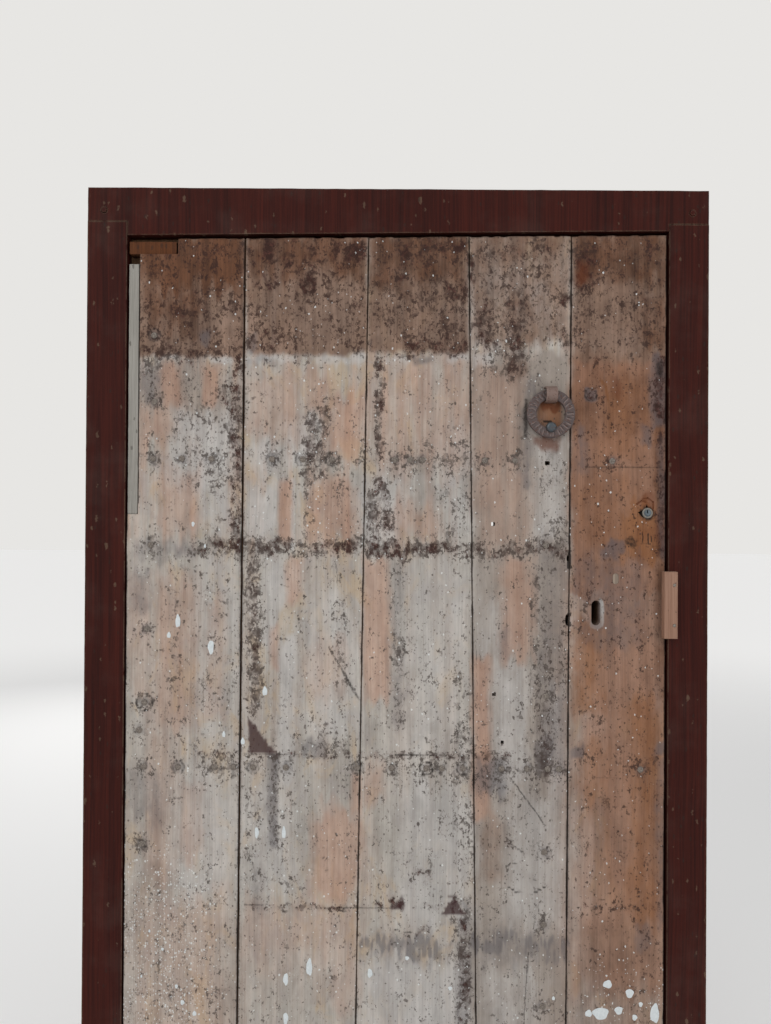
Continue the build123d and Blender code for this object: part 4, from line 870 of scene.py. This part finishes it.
def reliefOf(u, v, x, z, width, left):
    # depth below the face, in metres
    look = boardLook
    depth = look["cup"] * (2 * (x - left) / width - 1) ** 2
    sway = 3.0 * (hills(u / 40, v / 90, 4) - 0.5)
    depth = depth + look["ridge"] * hills((u + sway) / 1.7, v / 70, 6)
    depth = depth + look["ridge"] * 0.8 * hills((u + sway) / 4.1, v / 130, 7)
    depth = depth + look["hollow"] * hills(u / 30, v / 60, 8) * hills(u / 9, v / 40, 9)
    for top, v0, v1, drift, deep in cracks:
        share = np.clip((v - v0) / (v1 - v0), 0, 1)
        centre = top + drift * share + 1.2 * (hills(v / 16, v * 0 + 3.3, 10) - 0.5)
        along = ramp((v - v0) / 12) * ramp((v1 - v) / 12)
        depth = depth + deep * along * np.exp(-((u - centre) / 0.75) ** 2)
    for hx, hz in allHeads:
        near = (np.abs(x - hx) < 0.02) & (np.abs(z - hz) < 0.02)
        r = np.hypot(x[near] - hx, z[near] - hz)
        depth[near] += look["dent"] * np.exp(-(r / look["dentReach"]) ** 2)
    return depth


def edgeRelief(u, v, toEdge, toTop, toFoot):
    # worn edges, a chipped top and a ragged foot
    def falling(distance, reach):
        return np.exp(-np.clip(distance, 0, 1) / reach)

    look = boardLook
    depth = look["edgeWear"] * falling(toEdge, look["edgeReach"]) * (0.25 + 0.9 * hills(u / 3, v / 9, 12))
    chip = ramp((hills(u / 6, v * 0 + 2.0, 13) - 0.35) / 0.5)
    depth = depth + look["topChip"] * chip * falling(toTop, look["topReach"])
    return depth + look["footChip"] * hills(u / 5, v * 0 + 5.0, 14) * falling(toFoot, look["footReach"])


def lockRelief(u, v):
    # the leaning rim of the keyhole and the saw cuts round the cylinder
    ku, kv = u - keyhole["u"], v - keyhole["v"]
    lean = 0.35 + 0.65 * ramp((ku + kv * 0.35) / 6 + 0.5)
    depth = keyhole["depth"] * ramp(1 - (slotReach(ku, kv) - 4.4) / keyhole["reach"]) * lean
    for u0, v0, u1, v1 in sawCuts:
        depth = depth + boardLook["sawDepth"] * lineMask(u, v, [(u0, v0, u1, v1, 0.85, 1.0)])
    return depth


def marksOn(index, points, toLeft, toRight, toTop, backFace):
    # the strength of every mark at every point of a board
    u, v, x, y, z, front = (points[key] for key in ("u", "v", "x", "y", "z", "front"))
    fields = {key: softBoxes(u, v, rows, 20 + 5 * n, 0.45 if key == "tone" else 1.0)
              for n, (key, rows) in enumerate(marks.items())}
    toEdge = np.minimum(toLeft, toRight)

    def atLeast(key, values):
        fields[key] = np.maximum(fields.get(key, 0 * u), values)

    for key, rows in dashes.items():
        drop, fade = 0, 1
        if key == "smudge":  # a scrubbed band, in upright strokes
            drop = 12 * (hills(u / 3.5, v / 30, 45) - 0.5)
            fade = 0.2 + 1.1 * ramp((hills(u / 1.9, v / 16, 46) * 0.6 + hills(u / 7, v / 12, 47) * 0.4 - 0.2) / 0.5)
        atLeast(key, fade * lineMask(u + 1.6 * (hills(u / 3, v / 3, 31) - 0.5), v + drop, rows))
    gaps = 0.5 + 0.75 * ramp((hills(u / 5.5, v / 7, 41) - 0.25) / 0.5) * (0.6 + 0.5 * hills(u / 14, v / 16, 42))
    fields["residue"] = fields["residue"] * gaps
    fields["fleck"] = fields["fleck"] * (0.25 + 1.15 * hills(u / 9, v / 11, 43))
    atLeast("solid", cornerMask(u, v, paintScraps))

    for mu, mv, radius, thick, strength in ringMarks:
        r = np.hypot(u - mu, v - mv)
        atLeast("grimeAndShade", strength * ramp(1.3 - np.abs(r - radius) / thick) * (0.5 + 0.7 * hills(u / 2, v / 2, 44)))
    for hx, hz in allHeads:
        r = np.hypot(x - hx, z - hz)
        rough = hills(u / 2.5 + hx * 90, v / 2.5, 33)
        atLeast("grimeAndShade", (0.72 - 0.5 * rough) * ramp(1.9 - r / markReach["nailGrime"]))
        atLeast("smudge", 0.55 * ramp(1.5 - r / markReach["nailSmudge"]) * (0.5 + 0.8 * rough))
        atLeast("fleck", 0.62 * ramp(1.6 - r / markReach["nailFlecks"]) * (0.4 + 0.8 * rough))
    # darker within a few millimetres of each board's edges, along the open seams and at the top end
    atLeast("grimeAndShade", ramp(1.2 - toEdge / markReach["edge"]) * (0.35 + 0.5 * hills(u / 2, v / 12, 34)))
    if index in openSeams:
        side = toRight if openSeams[index] == "right" else toLeft
        atLeast("grimeAndShade", 0.5 * ramp(1.3 - side / markReach["seam"]) * ramp((v - 450) / 60))
    atLeast("grimeAndShade", 0.5 * ramp(1.2 - toTop / markReach["top"]))

    if index == 5:
        # darker round the cylinder hole and round the keyhole
        away = np.hypot(u - cylinderHole["u"], v - cylinderHole["v"])
        atLeast("grimeAndShade", 0.75 * ramp(1.6 - away / cylinderHole["reach"]) * (0.6 + 0.6 * hills(u / 2, v / 2, 35)))
        for u0, v0, u1, v1 in sawCuts:
            atLeast("rust", lineMask(u, v, [(u0, v0, u1, v1, 1.2, 0.9)]))
        ku, kv = u - keyhole["u"], v - keyhole["v"]
        atLeast("grimeAndShade", 0.7 * ramp(1.5 - slotReach(ku, kv) / 4.6))
        rim = slotReach(ku, kv) + 1.2 * (hills(u / 3, v / 5, 36) - 0.5)
        scraped = ramp(1.6 - np.abs(rim - 6.0) / 1.9) * ramp((ku * 0.8 + kv * 0.3) / 4 + 0.8)
        atLeast("pale", 1.1 * scraped)
        fields["grimeAndShade"] = fields["grimeAndShade"] * (1 - 0.8 * scraped)
        fields["warm"] = fields["warm"] * (1 - 0.85 * scraped)

    fields["front"] = front.astype(float)
    # the walls inside each seam notch take the front colour and are painted near black: painted shade inside the
    # notch
    for nu, nv in seamNotches:
        deep = (np.hypot(u - nu, (v - nv) / 1.1) < 6) & (y > leafFace + 0.0012) & (y < backFace - 0.002)
        fields["grimeAndShade"][deep], fields["front"][deep] = 1.2, 1.0
        if nv == 620:
            atLeast("pale", 0.8 * ramp(1.4 - np.hypot(u - nu - 3, (v - nv - 2) / 1.2) / 6.0))
    return fields


def denseBoard(index):
    name = f"board_{index}"
    bm = copyNode(name)
    low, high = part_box(name)
    columns = list(np.arange(low.x + 0.0009, high.x - 0.0004, boardLook["column"]))
    rows = list(np.arange(low.z + 0.003, high.z - 0.001, boardLook["row"]))
    if index == 5:
        for cuts, areas in ((columns, fineAreas["across"]), (rows, fineAreas["up"])):
            for start, end in areas:
                cuts += list(np.arange(start, end, boardLook["fineStep"]))
    netFace(bm, leafFace, sorted(columns), sorted(rows))
    mesh = bpy.data.meshes.new(f"oldBoard{index}")
    bm.to_mesh(mesh)
    bm.free()
    count = len(mesh.vertices)
    co = np.empty(count * 3)
    mesh.vertices.foreach_get("co", co)
    co = co.reshape(-1, 3)
    x, y, z = co[:, 0], co[:, 1], co[:, 2]
    u, v = toSquares(x, z)
    front = y < leafFace + 1e-5

    # the edges of this board at each height
    level = np.round(z / 0.02).astype(int)
    leftEdge, rightEdge = np.full(count, low.x), np.full(count, high.x)
    for key in np.unique(level[front]):
        at = level == key
        leftEdge[at], rightEdge[at] = x[at & front].min(), x[at & front].max()
    toLeft, toRight = x - leftEdge, rightEdge - x
    toTop = boardLook["top"] + boardLook["lean"] * x - z
    depth = reliefOf(u, v, x, z, high.x - low.x, low.x)
    depth = depth + edgeRelief(u, v, np.minimum(toLeft, toRight), toTop, z - boardLook["foot"])
    if index == 5:
        depth = depth + lockRelief(u, v)
    y[front] += depth[front]
    mesh.vertices.foreach_set("co", co.reshape(-1))

    points = {"u": u, "v": v, "x": x, "y": y, "z": z, "front": front}
    for key, values in marksOn(index, points, toLeft, toRight, toTop, high.y).items():
        valuesOnPoints(mesh, key, np.clip(values, 0, 1.2))
    mesh.shade_smooth()
    mesh.set_sharp_from_angle(angle=0.9)
    for face in mesh.polygons:
        face.use_smooth = face.normal.y < -0.3
    rideAs(addToScene(f"oldBoard{index}", mesh), "leaf", "oldBoards", (name,))
    print("board", index, count, "points")


for index in range(1, 6):
    denseBoard(index)


# The other pieces: where they ride, what they are made of, their rounded edges, net and dents, in metres.
def hammered(name, body, material, bevel, steps, depth, size):
    # a copy with softened edges and a slightly uneven face, only ever dented inwards
    bm = copyNode(name)
    bmesh.ops.dissolve_limit(bm, angle_limit=0.02, verts=bm.verts, edges=bm.edges, delimit=set())
    softenEdges(bm, bevel)
    for side, step in enumerate(steps):
        if step:
            cutAlong(bm, side, step)
    bm.normal_update()
    points = np.array([v.co[:] for v in bm.verts])
    x, y, z = points[:, 0], points[:, 1], points[:, 2]
    seed = sum(ord(c) for c in name) % 97
    dips = depth * hills(x * size + y * size * 0.7, z * size + y * size * 0.5, seed)
    dips = dips * 0.7 + 0.3 * depth * hills(x * size * 3, z * size * 3 + y * size, seed + 1)
    moved = [v.co - v.normal * float(d) for v, d in zip(bm.verts, dips)]
    for v, co in zip(bm.verts, moved):
        v.co = co
    finishPiece(bm, name + "Worn", body, material, (name,))


timberPieces = [
    (["hinge_jamb", "lock_jamb"], "frame", "framePaint", 0.0008, (0.012, 0, 0.012), 0.0008),
    (["frame_head"], "frame", "framePaint", 0.0008, (0.02, 0, 0.012), 0.0008),
    (["threshold"], "frame", "framePaint", 0.0008, (0.02, 0, 0.02), 0.0008),
    (["stop_block"], "frame", "freshWood", 0.0008, (0.004, 0, 0.006), 0.0006),
    (["hinge_stile", "lock_stile", "top_rail", "bottom_rail", "upper_ledge", "middle_ledge", "lower_ledge"],
     "leaf", "backFraming", 0.0008, (0.012, 0, 0.012), 0.0008),
    (["edge_lath"], "leaf", "paleLath", 0.0008, (0.004, 0, 0.006), 0.0007),
    (["corner_patch"], "leaf", "patchWood", 0.0008, (0.004, 0, 0.004), 0.0009),
    (["hole_plug"], "leaf", "plugWood", 0.0004, (0.002, 0, 0.002), 0.0004),
    (["frame_pegs"], "frame", "framePaint", 0.0008, (0, 0, 0), 0.0),
]
ironPieces = [
    (["upper_strap", "lower_strap"], "leaf", "oldIron", 0.0008, (0.005, 0, 0.005), 0.0007),
    (["upper_pintle", "lower_pintle"], "frame", "oldIron", 0.0008, (0.004, 0, 0.004), 0.0005),
    (["lock_plate"], "leaf", "lockIron", 0.0004, (0.01, 0, 0.01), 0.0002),
    (["lock_case"], "leaf", "lockIron", 0.0016, (0.008, 0, 0.008), 0.0004),
    (["latch_plate"], "leaf", "lockIron", 0.0004, (0.01, 0, 0.01), 0.0002),
    (["latch_case"], "leaf", "lockIron", 0.0016, (0.008, 0, 0.008), 0.0003),
    (["lock_keeper", "rim_keeper"], "frame", "lockIron", 0.0006, (0.006, 0, 0.006), 0.0003),
    (["ring_clasp"], "leaf", "claspIron", 0.0005, (0.003, 0, 0.003), 0.0004),
    (["lock_bolt"], "lock_bolt", "boltSteel", 0.0006, (0.006, 0, 0.004), 0.0002),
    (["rim_bolt"], "rim_bolt", "boltSteel", 0.0005, (0.006, 0, 0.004), 0.0002),
    (["inside_knob"], "spindle", "knobBrass", 0.0005, (0, 0.003, 0), 0.0),
    (["striker_knob"], "ring", "strikerSteel", 0.0005, (0.002, 0, 0.002), 0.0003),
    (["cylinder_body"], "leaf", "cylinderMetal", 0.0006, (0, 0, 0), 0.0),
    (["cylinder_plug"], "spindle", "plugMetal", 0.0004, (0, 0, 0), 0.0),
    (["cam_hub"], "spindle", "boltSteel", 0.0004, (0, 0, 0), 0.0),
    (["strap_screws"], "leaf", "oldIron", 0.0003, (0, 0, 0), 0.0),
    (["pintle_screws"], "frame", "oldIron", 0.0003, (0, 0, 0), 0.0),
    (["lock_screws", "latch_screws"], "leaf", "oldIron", 0.0003, (0, 0, 0), 0.0),
    (["keeper_screws"], "frame", "oldIron", 0.0003, (0, 0, 0), 0.0),
]
for label, pieces, dentSize in (("timber", timberPieces, 90.0), ("iron", ironPieces, 150.0)):
    for names, *look in pieces:
        for name in names:
            hammered(name, *look, dentSize)
    print(label, "softened")

nailLook = {"rim": 0.0022, "slope": 0.0012, "pitDepth": 0.0009, "pitReach": 0.0022, "rough": 0.0007}
for row in ("upper_nails", "middle_nails", "lower_nails", "stile_nails", "stop_block_nails"):
    bm = copyNode(row)
    bm.normal_update()
    tops = [f for f in bm.faces if f.normal.y < -0.95 and f.calc_area() > 2e-5]
    if tops:
        bmesh.ops.inset_individual(bm, faces=tops, thickness=nailLook["rim"], depth=0.0, use_even_offset=True)
        inner = [f for f in tops if f.is_valid]
        bmesh.ops.inset_individual(bm, faces=inner, thickness=nailLook["slope"], depth=0.0, use_even_offset=True)
        for v in [v for f in inner for v in f.verts]:
            v.co.y += nailLook["pitDepth"]
    points = np.array([v.co[:] for v in bm.verts])
    dips = nailLook["rough"] * hills(points[:, 0] * 520, points[:, 2] * 520, 51)
    for v, dip in zip(bm.verts, dips):
        if v.co.y < leafFace + 0.0002 and row != "stop_block_nails":
            v.co.y += float(dip)
    piece = finishPiece(bm, row + "Worn", "frame" if row == "stop_block_nails" else "leaf", "nailIron", (row,))
    co = np.empty(len(piece.data.vertices) * 3)
    piece.data.vertices.foreach_get("co", co)
    co = co.reshape(-1, 3)
    pits = np.zeros(len(co))
    # where the painted shade of each head's sunken middle goes
    for hx, hz in nailHeads.get(row, []):
        pits = np.maximum(pits, ramp(2.1 - np.hypot(co[:, 0] - hx, co[:, 2] - hz) / nailLook["pitReach"]))
    valuesOnPoints(piece.data, "pitShade", pits)
print("nails made")

# Knocker ring: a spun band with punched marks round its face.
ringLook = {"sections": 56, "steps": 240, "inner": 0.025, "marks": 26, "dent": 0.0007, "rough": 0.00035,
            "face": 0.0062, "sidePower": 0.28, "facePower": 0.42}
low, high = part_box("knocker_ring")
middle, outerRadius = (low + high) / 2, (high.x - low.x) / 2
bandMiddle, halfWide = (outerRadius + ringLook["inner"]) / 2, (outerRadius - ringLook["inner"]) / 2
halfThick = (high.y - low.y) / 2


def bulge(share, power):
    return math.copysign(abs(share) ** power, share) if abs(share) > 1e-6 else 0.0


def punched(radius, angle):
    # how deep the face is dented here, and how much its edge stands proud
    share = angle / math.tau * ringLook["marks"]
    nearest = round(share)
    arc = (share - nearest) * math.tau / ringLook["marks"] * radius
    side = radius - bandMiddle
    bend = 0.0024 * math.sin(side * 420 + nearest) + 0.0012 * math.sin(nearest * 5.3)
    stroke = arc - side * (0.5 + 0.25 * math.sin(nearest * 2.1)) * (1 if nearest % 2 else -0.7) - bend
    dent, lip = 0.0, 0.0
    if abs(side) < ringLook["face"]:
        dent = math.exp(-((stroke - 0.0012) / 0.00065) ** 2)
        lip = math.exp(-((stroke + 0.0006) / 0.0008) ** 2)
    return max(dent, math.exp(-(math.hypot(arc - 0.0042, side - 0.0035) / 0.0009) ** 2)), lip


bm = bmesh.new()
bmesh.ops.create_circle(bm, segments=ringLook["sections"], radius=1.0, cap_ends=False)
for v in bm.verts:
    wide, thick = bulge(v.co.x, ringLook["sidePower"]) * halfWide, bulge(v.co.y, ringLook["facePower"]) * halfThick
    v.co = middle + Vector((bandMiddle + wide, thick, 0))
bmesh.ops.spin(bm, geom=bm.verts[:] + bm.edges[:], cent=middle, axis=(0, 1, 0), dvec=(0, 0, 0), angle=math.tau,
               steps=ringLook["steps"], use_merge=True, use_duplicate=False)
bmesh.ops.remove_doubles(bm, verts=bm.verts, dist=0.00001)
bmesh.ops.recalc_face_normals(bm, faces=bm.faces)
rimFaces = [(f.normal, f.calc_center_median() - middle) for f in bm.faces if abs(f.normal.y) < 0.3]
if sum(normal.dot(away) for normal, away in rimFaces if away.length > 0.04) < 0:
    bmesh.ops.reverse_faces(bm, faces=bm.faces)
bm.normal_update()
ringMasks = []
for v in bm.verts:
    away = v.co - middle
    radius, angle = math.hypot(away.x, away.z), math.atan2(away.z, away.x)
    dent, lip = punched(radius, angle) if away.y < -halfThick * 0.6 else (0.0, 0.0)
    rough = float(hills(np.array([angle * 22]), np.array([radius * 500]), 61)[0])
    ringMasks.append((min(1.0, dent), lip))
    v.co -= v.normal * (ringLook["dent"] * dent + ringLook["rough"] * rough)
piece = finishPiece(bm, "ringPunched", "ring", "knockerIron", ("knocker_ring",))
for index, label in enumerate(("mark", "shine")):
    valuesOnPoints(piece.data, label, [masks[index] for masks in ringMasks])
print("ring made")

# Lime splashes and drips on the face, in squares.
drips = [  # middle, width, height
    (178, 621, 5, 13), (169, 635, 4, 6), (211, 647, 6, 14), (265, 691, 5, 9), (243, 741, 4, 7), (224, 734, 3, 6),
    (257, 832, 4, 11), (284, 832, 4, 12), (309.5, 966, 6, 17), (286, 978, 5, 12), (286, 1017, 5, 12),
    (370, 972, 5, 9), (193, 524, 3, 5), (205, 546, 2, 4), (607, 983, 9, 8), (629, 992, 8, 9), (600, 1012, 16, 12),
    (618, 1009, 8, 8), (654, 1012, 9, 19), (588, 1012, 7, 7), (407, 957, 4, 4), (450, 987, 4, 4), (553, 997, 3, 4),
    (640, 1003, 4, 5), (634, 1016, 5, 6), (183, 1001, 4, 5), (177, 985, 3, 4), (195, 1012, 4, 5), (150, 930, 2, 3),
    (163, 948, 3, 3), (142, 975, 2, 3), (596, 1050, 12, 16), (640, 1080, 16, 24), (560, 1110, 10, 14),
]
dripLook = {"sunk": 0.0002, "thick": 0.0007}
bm = bmesh.new()
for u, v, wide, tall in drips:
    x, z = fromSquares(u, v)
    made = bmesh.ops.create_uvsphere(bm, u_segments=18, v_segments=10, radius=1.0)
    turn = dice.uniform(0, 6)
    for vert in made["verts"]:
        a = math.atan2(vert.co.z, vert.co.x)
        swell = (1 + 0.09 * math.sin(3 * a + turn) + 0.05 * math.sin(5 * a + turn * 2)) * squares["size"] / 2
        y = leafFace + dripLook["sunk"] + vert.co.y * dripLook["thick"]
        vert.co = Vector((x + vert.co.x * swell * wide, y, z + vert.co.z * swell * tall))
finishPiece(bm, "limeDrips", "leaf", "limeDrip")
print("drips made")

# Camera, light and floor.
view = {"x": -0.0197, "y": -1.4425, "z": 1.41, "pitch": 0.29, "roll": 0.34, "lens": 37.35}
camera = addToScene("camera", bpy.data.cameras.new("camera"))
camera.data.sensor_fit, camera.data.sensor_width, camera.data.lens = "HORIZONTAL", 36.0, view["lens"]
camera.matrix_world = (Matrix.Translation((view["x"], view["y"], view["z"]))
                       @ Matrix.Rotation(math.radians(90 + view["pitch"]), 4, "X")
                       @ Matrix.Rotation(math.radians(view["roll"]), 4, "Z"))
bpy.context.scene.camera = camera

lamps = {
    "keyLamp": {"place": (-2.4, -4.4, 3.6), "aim": (0, 0, 1.1), "size": 3.4, "power": 78},
    "fillLamp": {"place": (3.4, -4.0, 2.0), "aim": (0, 0, 1.0), "size": 3.4, "power": 34},
    "backLamp": {"place": (-1.8, 4.4, 3.0), "aim": (0, 0, 1.1), "size": 3.4, "power": 62},
}
for name, lamp in lamps.items():
    data = bpy.data.lights.new(name, "AREA")
    data.shape, data.size, data.energy = "DISK", lamp["size"], lamp["power"]
    direction = Vector(lamp["aim"]) - Vector(lamp["place"])
    turned = direction.to_track_quat("-Z", "Y").to_matrix().to_4x4()
    addToScene(name, data).matrix_world = Matrix.Translation(lamp["place"]) @ turned

paleCard = (0.80, 0.79, 0.77, 1)
room = {"light": (0.80, 0.81, 0.83, 1), "strength": 0.72, "floor": (0.86, 0.85, 0.83, 1), "floorRough": 0.9,
        "floorHalf": 30.0, "fadeFrom": 3.0, "fadeTo": 8.5, "glowNear": 0.05, "glowFar": 0.37}
world = bpy.data.worlds.new("studio")
bpy.context.scene.world = world
world.use_nodes = True
tree = world.node_tree
background = tree.nodes["Background"]
seen = place(tree, "ShaderNodeLightPath").outputs
mirrored = maths(tree, "MAXIMUM", seen["Is Glossy Ray"], seen["Is Transmission Ray"])
direct = maths(tree, "MAXIMUM", seen["Is Camera Ray"], mirrored)
feed(tree, background.inputs["Color"], mixColour(tree, direct, room["light"], paleCard))
feed(tree, background.inputs["Strength"], spread(tree, direct, 0.0, 1.0, room["strength"], 1.0))

bm = bmesh.new()
bmesh.ops.create_grid(bm, x_segments=2, y_segments=2, size=room["floorHalf"])
mesh = bpy.data.meshes.new("floor")
bm.to_mesh(mesh)
bm.free()
floor = addToScene("floor", mesh)
floorPaint = bpy.data.materials.new("floorPaint")
floorPaint.use_nodes = True
tree = floorPaint.node_tree
shader = tree.nodes["Principled BSDF"].inputs
shader["Base Color"].default_value = room["floor"]
shader["Roughness"].default_value = room["floorRough"]
shader["Emission Color"].default_value = paleCard
away = vectorMaths(tree, "LENGTH", place(tree, "ShaderNodeTexCoord").outputs["Object"]).outputs["Value"]
glow = spread(tree, away, room["fadeFrom"], room["fadeTo"], room["glowNear"], room["glowFar"])
seen = place(tree, "ShaderNodeLightPath").outputs
feed(tree, shader["Emission Strength"], times(tree, glow, seen["Is Camera Ray"]))
mesh.materials.append(floorPaint)
bpy.context.scene.view_settings.view_transform = "Standard"

# The few pieces inside the locks that stay as they came.
insideLocks = {"guide_stud": "lockIron", "key_post": "lockIron", "bolt_spring": "lockIron", "tailpiece": "boltSteel"}
for name, material in insideLocks.items():
    cadNodes[name].data.materials.clear()
    cadNodes[name].data.materials.append(materials[material])
